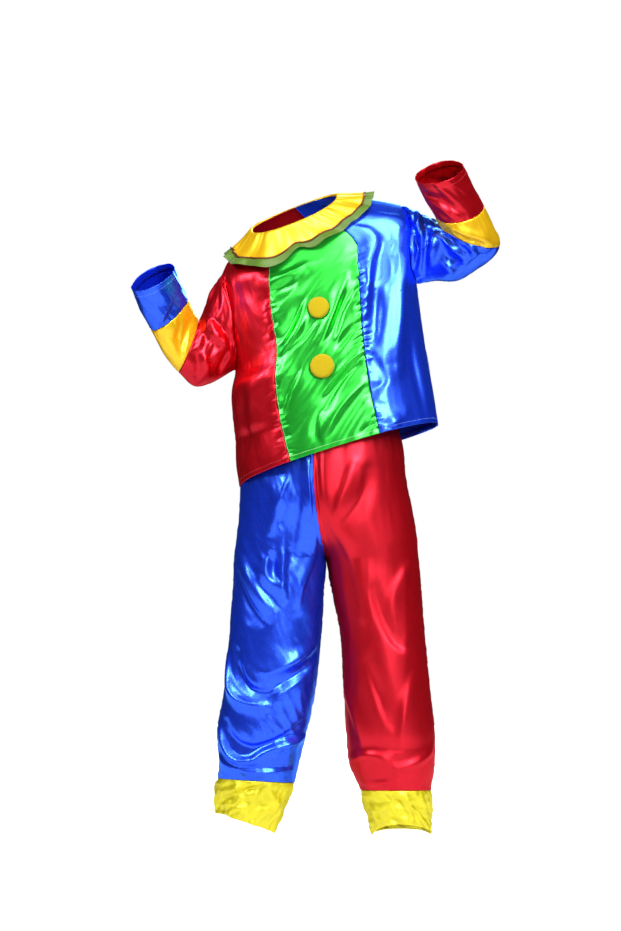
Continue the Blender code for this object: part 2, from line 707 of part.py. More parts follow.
def collar_panels():
    degrees = np.arange(COLLAR_COLUMNS) * 360.0 / COLLAR_COLUMNS - 180
    cuts = (
        # name, distances from the neck seam, finish, wall, over
        ("collar_ruffle", np.linspace(0, RUFFLE_WIDTH, 4), SATIN_YELLOW, RUFFLE_WALL, 0.0),
        ("collar_piping", np.array([RUFFLE_WIDTH, PIPING_EDGE]), PIPING_RED, 2.6, 0.9),
        ("collar_ribbon", np.array([PIPING_EDGE, RIBBON_EDGE]), ORGANZA_GREEN, RIBBON_WALL, 0.0),
    )
    return [Panel(name, collar(degrees, distance), -1, finish, wall, ring=True, over=over)
            for name, distance, finish, wall, over in cuts]


def button_points(degrees, station, radius, turn):
    """Places on the green panel on a circle round the button's middle, and the normals there."""
    x_step = torso(degrees + 0.5, station) - torso(degrees - 0.5, station)
    y_step = torso(degrees, station + 0.5) - torso(degrees, station - 0.5)
    side = unit(x_step)
    up = unit(y_step - side * np.dot(y_step, side))
    upwards = radius * np.sin(turn) / np.dot(y_step, up)
    sideways = radius * np.cos(turn) - upwards * np.dot(y_step, side)
    around = degrees + sideways / np.linalg.norm(x_step)
    along = station + upwards
    foot = torso(around, along)
    return foot, lifted(torso, np.ones(around.shape), 1, around, along) - foot


def build_button(name, degrees, station, radius, height):
    """A flat dome whose underside follows the panel that it is sewn to."""
    turn = np.radians(np.arange(BUTTON_COLUMNS) * 360.0 / BUTTON_COLUMNS)
    profile = (
        # part of the radius, part of the height
        (0.55, 0.0), (0.94, 0.0), (1.0, 0.3), (0.97, 0.62), (0.84, 0.86), (0.5, 0.98),
    )
    mesh = bmesh.new()
    rings = []
    for part, rise in profile:
        foot, normal = button_points(degrees, station, radius * part, turn)
        moved = foot + normal * (LAP_SPACE + height * rise)
        rings.append([mesh.verts.new(p * MM) for p in moved])
    grid_faces(mesh, rings, True)
    for ring, rise in ((rings[0], 0.0), (rings[-1], 1.0)):
        foot, normal = button_points(degrees, station, 0.0, turn[:1])
        tip = mesh.verts.new((foot[0] + normal[0] * (LAP_SPACE + height * rise)) * MM)
        for i in range(BUTTON_COLUMNS):
            mesh.faces.new((ring[i], ring[(i + 1) % BUTTON_COLUMNS], tip))
    bmesh.ops.recalc_face_normals(mesh, faces=mesh.faces)
    add_object(name, mesh, FELT_YELLOW)


def build_sewn(panels):
    normals, owners = shared_normals(panels)
    for panel in panels:
        build_panel(panel, normals, owners)


def main():
    clear_scene()
    build_sewn(tunic_panels() + all_sleeve_panels())
    build_sewn(collar_panels())
    build_sewn(trouser_panels())
    for row in BUTTONS:
        build_button(*row)


main()
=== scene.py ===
"""Looks of a worn clown costume: satin tunic and trousers in colour blocks, with a ruffled collar.

Tables and lengths are in millimetres and degrees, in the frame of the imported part: front
towards -Y, the wearer's left towards +X, and the middle of the neck opening at the origin.
"""

import math
from functools import partial

import bmesh
import bpy
import numpy as np
from mathutils import Matrix, Vector


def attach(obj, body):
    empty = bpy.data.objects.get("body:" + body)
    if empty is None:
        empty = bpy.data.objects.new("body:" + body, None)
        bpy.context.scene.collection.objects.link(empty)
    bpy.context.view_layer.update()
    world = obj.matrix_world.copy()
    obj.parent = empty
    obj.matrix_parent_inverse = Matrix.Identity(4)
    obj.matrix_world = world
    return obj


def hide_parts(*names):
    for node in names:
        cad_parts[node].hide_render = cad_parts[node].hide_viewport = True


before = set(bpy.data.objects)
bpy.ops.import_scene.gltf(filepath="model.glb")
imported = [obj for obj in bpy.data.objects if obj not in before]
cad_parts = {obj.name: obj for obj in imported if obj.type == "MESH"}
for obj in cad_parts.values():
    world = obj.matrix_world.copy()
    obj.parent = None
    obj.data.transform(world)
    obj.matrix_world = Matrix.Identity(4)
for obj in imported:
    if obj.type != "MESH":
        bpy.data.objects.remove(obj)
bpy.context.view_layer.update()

bl_info = {
    "name": "Satin clown costume",
    "version": (1, 0, 0),
    "blender": (4, 5, 0),
    "location": "3D View > Sidebar > Costume",
    "description": "Makes the cloth, trims and stage of a worn satin costume",
    "category": "Object",
}

MM = 0.001

# Sections of the tunic body, from the hem up to the neck, as in the part.
TORSO = (
    # station, right_x, right_z, left_x, left_z, front, front_rise, back, back_rise,
    # degrees of the front's seam on the right and on the left
    (0, -124, -630, 331, -490, 165, 25, 158, -9, -28, 22.3),
    (62, -135, -568, 322, -430, 160, 16, 152, -7, -29, 21.7),
    (141, -137, -499, 306, -343, 152, 7, 144, -5, -31, 21.2),
    (222, -135, -430, 291, -251, 146, 0, 137, 0, -31.5, 21),
    (301, -132, -359, 281, -163, 138, -9, 130, 0, -31.5, 21),
    (407, -161, -242, 281, -71, 122, -23, 118, 5, -29.5, 22),
    (517, -152, -113, 244, 18, 94, -46, 92, 14, -30, 24.4),
    (552, -122, -76, 170, 32, 82, -44, 76, 21, -32, 28),
    (584, -97, -37, 97, 39, 72, -32, 62, 21, -36, 34),
)
TORSO_SQUARENESS = 2.35
RIGHT_SEAM_COLUMN, LEFT_SEAM_COLUMN = 9, 10
NECK = 584
ARMPIT = 301
SHOULDER = 517
ARMHOLE_HALF_WIDTH = 32  # degrees

# Tables by side: -1 is the wearer's right and 1 the left
RIGHT, LEFT = -1, 1

# Sections of each sleeve after its armhole.
RIGHT_SLEEVE = (
    # station, top_x, top_z, low_x, low_z, mid_y, front_x, front_y, front_z
    (45, -172, -158, -149, -369, -12, 12, -68, 0),
    (95, -196, -209, -185, -390, -26, 14, -66, 5),
    (135, -210, -240, -227, -400, -42, 12, -63, -5),
    (165, -216, -255, -256, -373, -56, 5, -59, -18),
    (180, -218, -253, -269, -355, -66, 0, -56, -28),
    (215, -229, -235, -295, -316, -90, -5, -52, -30),
    (250, -237, -214, -319, -268, -112, -7, -50, -30),
    (300, -253, -177, -342, -221, -145, -7, -47, -30),
    (335, -264, -148, -357, -179, -170, -7, -45, -30),
)
LEFT_SLEEVE = (
    # station, top_x, top_z, low_x, low_z, mid_y, front_x, front_y, front_z
    (35, 271, 5, 321, -158, -14, -14, -68, 0),
    (70, 297, -10, 370, -159, -30, -21, -66, 0),
    (105, 316, -20, 421, -131, -48, -21, -63, -7),
    (135, 325, -29, 454, -106, -64, -14, -60, -18),
    (155, 326, -31, 466, -82, -76, -7, -58, -28),
    (190, 322, -29, 448, -38, -100, 2, -55, -30),
    (210, 318, -24, 426, 3, -116, 5, -53, -30),
    (255, 291, 15, 397, 48, -146, 5, -51, -29),
    (295, 271, 53, 375, 84, -172, 5, -50, -28),
)
SLEEVES = {RIGHT: RIGHT_SLEEVE, LEFT: LEFT_SLEEVE}
RIGHT_BAND, RIGHT_CUFF, RIGHT_WRIST = 172, 250, 335
LEFT_BAND, LEFT_CUFF, LEFT_WRIST = 155, 210, 295
SLEEVE_SEAMS = {RIGHT: (RIGHT_BAND, RIGHT_CUFF), LEFT: (LEFT_BAND, LEFT_CUFF)}

# Sections that both legs share, from the waistband down to the crotch, and then of each leg.
HIPS = (
    # station, right_x, right_z, left_x, left_z, middle_x, middle_z, front, back
    (-38, -66, -440, 208, -376, 71, -402, 98, 103),
    (0, -74, -476, 202, -412, 64, -439, 100, 105),
    (92, -106, -550, 246, -518, 46, -531, 118, 120),
    (176, -121.3, -619, 258, -614, 45, -614, 124, 130),
    (267, -127, -706, 276, -706, 55, -706, 120, 130),
    (313, -132, -752, 283, -752, 64, -754, 116, 124),
    (350, -136, -789, 286, -789, 72, -789, 112, 118),
)
RIGHT_LEG = (
    # station, outer_x, outer_z, inner_x, inner_z, mid_y, half_depth, front_rise
    (420, -140, -856, 69, -862, 0, 99, 0),
    (532, -148, -966, 62, -975, 0, 99, 0),
    (665, -162, -1106, 46, -1113, -4, 98, 0),
    (765, -177, -1200, 26, -1205, -4, 96, 0),
    (820, -172, -1258, 11, -1265, 0, 92, 6),
    (866, -175, -1300, 0, -1311, 0, 84, 12),
    (916, -177, -1341, -21, -1368, 0, 77, 13),
    (964, -176, -1380, -45, -1426, 0, 72, 15),
)
LEFT_LEG = (
    # station, outer_x, outer_z, inner_x, inner_z, mid_y, half_depth, front_rise
    (420, 292, -856, 84, -856, -2, 99, 0),
    (532, 300, -965, 106, -965, -8, 99, 0),
    (665, 312, -1095, 114, -1095, -16, 98, 0),
    (765, 323, -1202, 121, -1209, -22, 96, 0),
    (825, 322, -1266, 128, -1266, -24, 92, 6),
    (884, 313, -1323, 153, -1323, -26, 84, 12),
    (930, 313, -1371, 165, -1368, -27, 78, 20),
    (985, 310, -1425, 181, -1425, -28, 73, 36),
)
LEGS = {RIGHT: RIGHT_LEG, LEFT: LEFT_LEG}
HIP_FRONT_COLUMN, HIP_BACK_COLUMN = 7, 8
LEG_SQUARENESS = 2.15
HIP_SQUARENESS = 2.3
THIGH_DEPTH = 0.9  # of the hips' depth, where the legs are still joined
LEG_CUFF = {RIGHT: 866, LEFT: 884}
LEG_HEM = {RIGHT: 964, LEFT: 985}
CROTCH = 350
SEAT = 200
# Rows of points close together above the crotch, where the seam turns under.
CROTCH_ROWS = (334, 338, 341, 343.5, 345.5, 347, 348.2, 349.2, 350, 351.5)

# Folds: a soft line from its start, past its middle, to its end. Height above zero is a ridge
# and below zero a trough.
TORSO_FOLDS = (
    # start_deg, start_at, middle_deg, middle_at, end_deg, end_at, width, height
    (-12, 384, -18, 346, -28, 315, 11, -7),
    (-9, 369, -15, 320, -29, 288, 11, 6),
    (-7, 324, -14, 304, -16, 291, 7, -4),
    (20, 375, 4, 315, 3, 255, 12, -7),
    (15, 408, 2, 300, -3, 276, 11, 6),
    (19, 276, 8, 250, 5, 231, 9, -6),
    (16, 183, 4, 162, -5, 105, 11, -7),
    (20, 204, 7, 190, -2, 147, 10, 6),
    (16, 132, 2, 98, -5, 45, 13, 6),
    (-18, 219, -26, 182, -29, 126, 10, -6),
    (-8, 93, -13, 51, -10, 21, 7, -4),
    (20, 39, 16, 18, 11, 9, 7, -4),
    (57, 505, 51, 300, 40, 150, 30, 12),
    (-74, 250, -52, 240, -31, 226, 56, 18),
    (-84, 104, -55, 98, -36, 88, 40, -8),
    (-29, 436, -24, 440, -14, 452, 18, -9),
    (-66, 494, -48, 500, -33, 492, 22, 6),
    (-30, 470, -20, 462, -8, 478, 18, 8),
    (31, 330, 32, 258, 26, 210, 13, -5),
    (35, 516, 25, 363, 24, 294, 15, 6),
    (51, 396, 46, 219, 40, 174, 16, 2),
    (22, 207, 38, 98, 22, 114, 9, -3),
    (37, 30, 31, 18, 29, 6, 16, 5),
    (53, 204, 54, 132, 54, 24, 18, -5),
    (-56, 396, -52, 279, -36, 282, 22, 2),
    (-52, 243, -56, 196, -59, 72, 20, -6),
    (-58, 489, -49, 448, -60, 330, 14, 4),
    (-33, 462, -33, 369, -37, 312, 14, -4),
    (-42, 213, -44, 111, -39, 33, 16, 1),
    (150, 440, 140, 240, 146, 60, 24, 6),
    (-140, 400, -150, 220, -138, 40, 24, 6),
    (178, 330, 172, 200, 176, 60, 20, -5),
    (124, 470, 132, 380, 160, 340, 15, 5),
    (-122, 480, -136, 400, -168, 350, 15, 5),
    (118, 250, 126, 150, 122, 40, 17, -5),
    (-112, 260, -122, 150, -118, 50, 17, -5),
    (160, 200, 166, 120, 162, 20, 14, 4),
    (-164, 190, -160, 110, -166, 20, 14, 4),
    (100, 190, 96, 110, 102, 20, 15, 4),
    (-96, 200, -92, 120, -98, 30, 15, -4),
)
RIGHT_SLEEVE_FOLDS = (
    # start_deg, start_at, middle_deg, middle_at, end_deg, end_at, width, height
    (78, 44, 14, 40, -9, 10, 15, 5),
    (48, 26, 14, 4, -15, 8, 8, -3),
    (80, 50, 84, 76, 88, 102, 12, 4),
    (60, 132, 10, 92, -36, 51, 14, 5),
    (50, 118, 12, 84, -30, 24, 8, -4),
    (40, 140, 3, 116, -33, 60, 8, -4),
    (-9, 129, -21, 120, -57, 111, 9, 4),
    (-33, 51, -38, 76, -60, 84, 9, -4),
    (0, 152, -14, 130, -57, 136, 9, -3),
    (38, 228, 20, 212, -3, 196, 9, -3),
    (70, 206, 28, 201, -6, 186, 8, -3),
    (39, 291, 16, 274, -12, 264, 12, 3),
    (150, 130, 190, 96, 230, 66, 11, 5),
    (140, 90, 180, 60, 220, 36, 11, -4),
    (170, 150, 200, 136, 236, 120, 9, 4),
    (150, 300, 180, 280, 210, 264, 12, 3),
)
LEFT_SLEEVE_FOLDS = (
    # start_deg, start_at, middle_deg, middle_at, end_deg, end_at, width, height
    (72, 51, 33, 64, 18, 36, 8, 5),
    (21, 54, -6, 50, -33, 18, 7, 4),
    (30, 75, 2, 52, -45, 24, 6, -4),
    (21, 90, 9, 78, -39, 42, 7, 5),
    (6, 96, -12, 75, -42, 42, 6, -3),
    (12, 99, -15, 116, -42, 102, 8, 5),
    (-54, 75, -28, 74, -57, 114, 8, 4),
    (36, 8, -6, 34, -24, 16, 8, -5),
    (-15, 87, -39, 81, -51, 87, 8, -4),
    (-62, 92, -52, 120, -60, 144, 10, -5),
    (-46, 116, -28, 138, -6, 150, 7, 4),
    (36, 195, 12, 171, -24, 162, 8, -4),
    (45, 200, 16, 192, -30, 177, 9, 4),
    (60, 270, 21, 255, -6, 228, 10, -3),
    (150, 110, 190, 80, 230, 56, 11, 5),
    (140, 70, 180, 44, 220, 30, 11, -4),
    (160, 130, 200, 120, 236, 104, 9, 4),
    (150, 270, 180, 250, 210, 236, 11, 3),
)
SLEEVE_FOLDS = {RIGHT: RIGHT_SLEEVE_FOLDS, LEFT: LEFT_SLEEVE_FOLDS}
RIGHT_LEG_FOLDS = (
    # start_deg, start_at, middle_deg, middle_at, end_deg, end_at, width, height
    (10, 328, 28, 398, -2, 412, 13, 5),
    (-8, 324, 0, 370, -8, 440, 12, 5),
    (8, 344, 5, 384, -2, 408, 9, -4),
    (48, 360, 22, 448, 4, 472, 16, 6),
    (56, 392, 34, 472, 12, 504, 14, -5),
    (70, 580, 54, 684, 6, 676, 12, 9),
    (48, 568, 43, 648, 2, 648, 12, -7),
    (-58, 580, -24, 620, 2, 644, 14, -6),
    (-56, 552, -23, 590, 6, 604, 14, 5),
    (62, 748, 38, 832, 6, 804, 11, 9),
    (6, 804, -21, 762, -68, 760, 11, 9),
    (52, 724, 20, 836, -52, 724, 14, -5),
    (66, 808, 32, 852, -58, 832, 11, 5),
    (-56, 136, -66, 228, -52, 256, 14, 4),
    (-58, 308, -22, 404, -26, 468, 13, 4),
    (-16, 168, -9, 204, 10, 288, 15, 5),
    (-38, 196, -22, 292, -14, 356, 16, -4),
    (64, 936, 7, 884, -14, 878, 9, -4),
    (-18, 880, -35, 896, -56, 918, 8, 3),
    (56, 900, 24, 884, 8, 880, 8, 3),
    (150, 420, 200, 520, 230, 540, 18, 6),
    (130, 760, 180, 830, 240, 770, 15, 8),
    (140, 560, 176, 640, 226, 600, 15, 6),
    (136, 250, 160, 330, 170, 420, 18, 5),
    (224, 260, 206, 340, 196, 430, 18, 5),
    (150, 700, 190, 740, 236, 700, 13, -5),
    (126, 880, 170, 912, 210, 890, 9, 4),
)
LEFT_LEG_FOLDS = (
    # start_deg, start_at, middle_deg, middle_at, end_deg, end_at, width, height
    (8, 156, 6, 214, -28, 264, 13, -5),
    (-8, 140, -21, 194, -38, 256, 13, 5),
    (-62, 136, -66, 202, -62, 308, 13, -4),
    (-46, 264, -10, 346, -22, 484, 22, 6),
    (-4, 424, 4, 550, 28, 556, 18, -6),
    (-24, 596, -11, 672, -2, 716, 18, -5),
    (58, 348, 24, 404, 14, 476, 17, 3),
    (-86, 832, -21, 752, 0, 832, 11, 6),
    (0, 832, 25, 822, 62, 788, 11, 6),
    (-64, 788, -18, 770, 36, 776, 14, -2),
    (-68, 860, -34, 872, 0, 858, 8, 4),
    (-80, 652, -44, 704, -38, 772, 17, 5),
    (34, 632, 16, 704, 14, 760, 17, 5),
    (-66, 910, -28, 924, -10, 900, 8, -3),
    (4, 900, 22, 922, 64, 916, 8, 3),
    (140, 400, 190, 500, 230, 560, 20, 6),
    (120, 790, 180, 850, 240, 800, 15, 7),
    (136, 250, 160, 330, 168, 420, 18, 5),
    (224, 250, 204, 330, 198, 430, 18, 5),
    (146, 600, 186, 680, 230, 640, 15, 6),
    (150, 730, 190, 770, 236, 740, 13, -5),
    (130, 900, 170, 930, 210, 910, 9, 4),
)
LEG_FOLDS = {RIGHT: RIGHT_LEG_FOLDS, LEFT: LEFT_LEG_FOLDS}
FOLD_END_SHARE = 0.35  # of its height that a fold keeps at its ends
FOLD_LEAN = 0.35  # how much steeper one flank is than the other

# The ruffle, outwards from the neck seam: yellow cloth, then the piping, then the ribbon.
RUFFLE_WIDTH = 62
RIBBON_EDGE = 84
RUFFLE_WALL = 1.2
RIBBON_WALL = 0.4
LAP_SPACE = 0.6
PIPING_RADIUS = 2.3
RUFFLE_WAVES = (
    # degrees, spread, height, reach
    (-172, 9, 13, 3),
    (-146, 8, 12, 4),
    (-122, 9, 14, 3),
    (-97, 8, 13, 2),
    (-74, 9, 13, 4),
    (-56, 10, 17, 14),
    (-32, 11, 21, 19),
    (-9, 7, 2, -20),
    (11, 9, 15, -3),
    (34, 8, 8, -2),
    (56, 9, 12, 5),
    (80, 9, 11, 1),
    (104, 9, 12, 3),
    (128, 9, 13, 4),
    (154, 9, 12, 3),
)

BUTTONS = (
    # name, degrees, station, radius, height
    ("button_upper", -3, 354, 24.2, 11),
    ("button_lower", -4, 207, 27.2, 12),
)
BUTTON_PROFILE = (
    # part of the radius, part of the height
    (0.0, 0.0), (0.55, 0.0), (0.92, 0.0), (0.98, 0.1), (1.0, 0.3), (0.985, 0.55), (0.93, 0.76),
    (0.84, 0.85), (0.7, 0.91), (0.5, 0.96), (0.25, 0.99), (0.0, 1.0),
)

# Millimetres of cloth to a degree round each kind of piece
TORSO_ARC = 3.4
SLEEVE_ARC = 1.2
LEG_ARC = 1.75
COLLAR_ARC = 2.2

CUFF_COARSENESS = 0.75  # of the points round a leg, those round its cuff

NO_LIMITS = (-1e9, 1e9)  # degrees outside which a piece's slope isn't read

# Edges of a piece: each row is a line of points, how far it stands in from the edge and how
# deep it lies below the face. A seam turns its allowance in, and a hem is turned up.
SEAM_EDGE = (
    # from_edge, depth
    (0.4, 4.0), (0.4, 2.4), (0.45, 1.3), (0.9, 0.5), (2.0, 0.12), (4.0, 0.0),
)
NECK_EDGE = (
    (2.4, 3.5), (2.4, 2.0), (2.5, 1.1), (3.0, 0.4), (4.2, 0.1), (6.0, 0.0),
)
NECK_TURN = (
    (0.0, 5.0), (0.1, 2.6), (0.3, 1.1), (0.9, 0.4), (2.0, 0.1), (3.5, 0.0),
)
HEM_EDGE = (
    (14.0, 1.9), (8.0, 1.9), (2.5, 1.8), (0.5, 1.4), (0.0, 0.8), (0.4, 0.25), (1.6, 0.0),
    (4.5, 0.0),
)
RUFFLE_EDGE = ((3.0, 0.0), (0.5, 0.0))

HEM_STITCHES = 11  # from the hem
STITCH_PITCH = 1.45  # of a stitch's length, from one to the next
THREADS = {
    # slot: colour of the thread that its cloth is sewn with
    "satin_red": "#C03A48",
    "satin_green": "#A8E8A0",
    "satin_blue": "#6C90E8",
    "satin_lemon": "#D8C850",
}

# Small creases of each piece: seed, width and length, how much they lean, share of the height
TUNIC_GRAIN = {
    "tunic_front_red": (11, 28, 100, 0.2, 1.0),
    "tunic_front_green": (22, 30, 95, -0.75, 0.85),
    "tunic_front_blue": (33, 34, 150, -0.05, 1.0),
    "tunic_back_blue": (44, 34, 110, 0.3, 1.1),
    "tunic_back_red": (55, 34, 110, -0.3, 1.1),
}
SLEEVE_GRAIN = {RIGHT: (69, 26, 44, 0.6, 0.9), LEFT: (71, 26, 44, -0.6, 1.4)}
LEG_GRAIN = {RIGHT: (99, 30, 76, 0.55, 1.0), LEFT: (101, 40, 250, 0.08, 0.5)}
# The last value of the trouser cuffs' creases is their height in millimetres
LEG_CUFF_GRAIN = {RIGHT: (124, 27, 34, -0.5, 5.5), LEFT: (126, 27, 34, -0.5, 5.5)}
# How strongly the tunic's seams are drawn in, and how far apart their puckers are
RIGHT_DRAW, LEFT_DRAW, SIDE_DRAW = 1.4, 3.0, 0.8
RIGHT_PITCH, LEFT_PITCH = 11, 15
UNDER_COLLAR = NECK - 76
# Seeds of the other random creases
SEAM_SEED, HEM_SEED, LEFT_SEAM_SEED, BUTTON_SEED = 300, 90, 170, 160
SLEEVE_SEAM_SEEDS = (61, 62)
HEAD_SEED, OUTSEAM_SEED, INSEAM_SEED, RING_SEED = 80, 110, 115, 120
WAIST_SEED, CASING_SEED = 130, 140
GATHER_SEED, RUFFLE_SEED, RIBBON_SEED = 151, 152, 153
# How deep the placed folds of the limbs are, as a share of the tables'
SLEEVE_DEPTH = {RIGHT: 1.5, LEFT: 2.1}
LEG_DEPTH = {RIGHT: 1.45, LEFT: 0.8}
# Height of the gathers at the head of each sleeve and at the waist
HEAD_GATHERS = {RIGHT: 3.0, LEFT: 4.5}
WAIST_GATHERS = 3.0

# The stage, in millimetres: the photo's frame is 931 pixels high at 2.3 mm a pixel
FLOOR = -1490
FLOOR_RADIUS = 2400
FRAME_HEIGHT = 931 * 2.3
CAMERA_X, CAMERA_Z = 37.95, -580.75
LIGHTS = (
    # setting of its power, size and place in metres
    ("key", 1.5, (1.9, -3.6, 1.4)),
    ("fill", 1.0, (-2.4, -2.3, 1.7)),
    ("front", 1.0, (0.9, -3.4, -0.4)),
    ("top", 1.1, (0.4, -1.5, 2.1)),
    ("back", 1.6, (0.4, 2.6, 0.8)),
)
LIGHTS_AIM = (0.06, 0, -0.6)


def linear(hex_colour):
    """The linear red, green and blue of an sRGB hex value."""
    parts = [int(hex_colour[i:i + 2], 16) / 255 for i in (1, 3, 5)]
    return tuple(c / 12.92 if c <= 0.04045 else ((c + 0.055) / 1.055) ** 2.4 for c in parts)


def colour_property(label, words, hex_colour):
    return bpy.props.FloatVectorProperty(name=label, description=words, subtype="COLOR", size=3,
                                         min=0, max=1, default=linear(hex_colour))


def number_property(label, words, default, low, high, **kind):
    return bpy.props.FloatProperty(name=label, description=words, default=default, min=low,
                                   max=high, **kind)


class CostumeColours(bpy.types.PropertyGroup):
    """Colours of the cloths and trims"""

    red: colour_property("Red satin", "Red panels, sleeve and leg", "#C00410")
    green: colour_property("Green satin", "Middle panel of the front", "#1CBE2E")
    blue: colour_property("Blue satin", "Blue panels, sleeve and leg", "#1838F8")
    yellow: colour_property("Yellow satin", "Ruffle and sleeve bands", "#EAB60C")
    lemon: colour_property("Lemon satin", "Cuffs of the trousers", "#D0C60E")
    ribbon: colour_property("Green organza", "Sheer ribbon round the ruffle", "#4C6C0C")
    piping: colour_property("Piping", "Cord along the ruffle's edge", "#66280C")
    felt: colour_property("Yellow felt", "Both buttons", "#A08A0A")


class CostumeSizes(bpy.types.PropertyGroup):
    """Sizes of the cloth and its sewing"""

    cloth: number_property("Cloth thickness", "Thickness of the satin as it is drawn",
                           0.0005, 0.0002, 0.0012, unit="LENGTH")
    mesh_step: number_property("Mesh step", "Distance between the lines of points on the cloth",
                               0.0036, 0.003, 0.02, unit="LENGTH")
    fold_share: number_property("Fold depth", "Share of the tables' heights that the folds have",
                                1.3, 0, 1.6, subtype="FACTOR")
    crumple: number_property("Crumple", "Height of the small soft creases between the folds",
                             0.0021, 0, 0.004, unit="LENGTH")
    pucker: number_property("Seam pucker", "Height of the short creases that the thread draws in",
                            0.0018, 0, 0.004, unit="LENGTH")
    stitch: number_property("Stitch length", "Length of one stitch of the hems",
                            0.0032, 0.002, 0.006, unit="LENGTH")
    thread: number_property("Thread", "Width of the sewing thread",
                            0.0006, 0.0003, 0.001, unit="LENGTH")


class StageSettings(bpy.types.PropertyGroup):
    """Camera and lights"""

    key: number_property("Key light", "Power of the softbox high in front, on the right",
                         205, 0, 400, unit="POWER")
    fill: number_property("Fill light", "Power of the softbox high in front, on the left",
                          105, 0, 400, unit="POWER")
    front: number_property("Front light", "Power of the softbox beside the camera",
                           18, 0, 400, unit="POWER")
    top: number_property("Top light", "Power of the softbox overhead", 75, 0, 400, unit="POWER")
    back: number_property("Back light", "Power of the softbox behind", 90, 0, 400, unit="POWER")
    surround: number_property("Surround", "Light from the white studio all round", 0.07, 0, 2)
    distance: number_property("Camera distance", "From the camera to the middle of the costume",
                              4.5, 2, 12, unit="LENGTH")


def unit(vectors):
    return vectors / np.linalg.norm(vectors, axis=-1, keepdims=True)


def through(stations, values, at):
    """A smooth curve through one value for each station, read at the stations asked for."""
    stations = np.asarray(stations, float)
    at = np.asarray(at, float)
    slopes = np.gradient(values, stations, axis=0)
    low = np.clip(np.searchsorted(stations, at, side="right") - 1, 0, len(stations) - 2)
    gap = stations[low + 1] - stations[low]
    part = (at - stations[low]) / gap
    cells = tuple(np.indices(at.shape))
    shape = part.shape + (1,) * (values.ndim - 1 - at.ndim)
    part, gap = part.reshape(shape), gap.reshape(shape)
    start, end = values[(low,) + cells], values[(low + 1,) + cells]
    leave, arrive = slopes[(low,) + cells] * gap, slopes[(low + 1,) + cells] * gap
    return (
        (2 * part**3 - 3 * part**2 + 1) * start
        + (part**3 - 2 * part**2 + part) * leave
        + (3 * part**2 - 2 * part**3) * end
        + (part**3 - part**2) * arrive
    )


def column_at(table, column, at):
    """One column of a table, read smoothly at the stations asked for."""
    rows = np.asarray(table, float)
    return through(rows[:, 0], rows[:, column].reshape((-1,) + (1,) * at.ndim)
                   * np.ones((1,) + at.shape), at)


def oval(degrees, middle, side, front, back, squareness):
    """One section: 0 degrees is its front, 90 its side point and 180 its back."""
    turn = np.radians(degrees)
    across, ahead = np.sin(turn), np.cos(turn)
    stretch = (abs(across) ** squareness + abs(ahead) ** squareness) ** (-1 / squareness)
    across, ahead = (across * stretch)[..., None], (ahead * stretch)[..., None]
    return middle + side * across + front * np.maximum(ahead, 0) + back * np.maximum(-ahead, 0)


def fold_height(folds, degrees, station, mm_per_degree):
    """How far the folds lift the cloth at each place. Each one fades in towards its ends."""
    height = np.zeros(np.broadcast(degrees, station).shape)
    part = np.linspace(0, 1, 11)
    leave, pass_by, arrive = (1 - part) ** 2, 2 * part * (1 - part), part**2
    for begin_deg, begin_at, bend_deg, bend_at, end_deg, end_at, width, rise in folds:
        line_deg = leave * begin_deg + pass_by * bend_deg + arrive * end_deg
        line_at = leave * begin_at + pass_by * bend_at + arrive * end_at
        nearest = np.full(height.shape, np.inf)
        strength = np.zeros(height.shape)
        slope = np.ones(height.shape)
        for i in range(len(part) - 1):
            over = (line_deg[i + 1] - line_deg[i]) * mm_per_degree
            down = line_at[i + 1] - line_at[i]
            to_x = ((degrees - line_deg[i] + 180) % 360 - 180) * mm_per_degree
            to_y = station - line_at[i]
            along = np.clip((to_x * over + to_y * down) / (over**2 + down**2), 0, 1)
            away = np.hypot(to_x - along * over, to_y - along * down)
            reached = (i + along) / (len(part) - 1)
            nearer = away < nearest
            nearest = np.where(nearer, away, nearest)
            middling = (1 - FOLD_END_SHARE) * np.sin(np.pi * reached)
            strength = np.where(nearer, FOLD_END_SHARE + middling, strength)
            side = (to_x * down - to_y * over) / (width * np.hypot(over, down))
            slope = np.where(nearer, 1 + FOLD_LEAN * np.tanh(2 * side), slope)
        height += rise * strength * np.exp(-((nearest / (width * slope)) ** 2))
    return height


def lifted(base, height, degrees, station):
    """The base surface with each point moved out along its normal by the height there."""
    step = 0.5
    along = base(degrees + step, station) - base(degrees - step, station)
    up = base(degrees, station + step) - base(degrees, station - step)
    return base(degrees, station) + unit(np.cross(along, up)) * height[..., None]


def soft_noise(x, y, seed):
    """Smooth noise from -1 to 1, with one random value for each unit cell."""
    table = np.random.default_rng(seed).uniform(-1, 1, (64, 64))
    low_x, low_y = np.floor(x).astype(int), np.floor(y).astype(int)
    part_x, part_y = x - low_x, y - low_y
    part_x = part_x**2 * (3 - 2 * part_x)
    part_y = part_y**2 * (3 - 2 * part_y)

    def row(up):
        left, right = [table[(low_x + over) % 64, (low_y + up) % 64] for over in (0, 1)]
        return left * (1 - part_x) + right * part_x

    return row(0) * (1 - part_y) + row(1) * part_y


def creases(across, along, grain):
    """Soft creases over the cloth, by a row of the tables of small creases."""
    seed, width, length, lean, share = grain
    turned = across + lean * along
    bent = turned + 0.35 * width * soft_noise(across / length, along / length, seed + 2)
    broad = soft_noise(bent / width, along / length, seed)
    sharp = 1 - 2 * abs(soft_noise(bent / (width * 0.9), along / (length * 0.9), seed + 1))
    fine = 1 - 2 * abs(soft_noise(bent / (width * 0.45), along / (length * 0.5), seed + 3))
    return share * (0.7 * broad + 0.55 * sharp + 0.25 * fine)


def near(distance, reach):
    """1 on a line, fading to 0 about twice the reach away."""
    return np.exp(-((distance / reach) ** 2))


def away_from(distance, reach):
    """0 on a line and 1 from there on outwards."""
    return 1 - near(distance, reach)


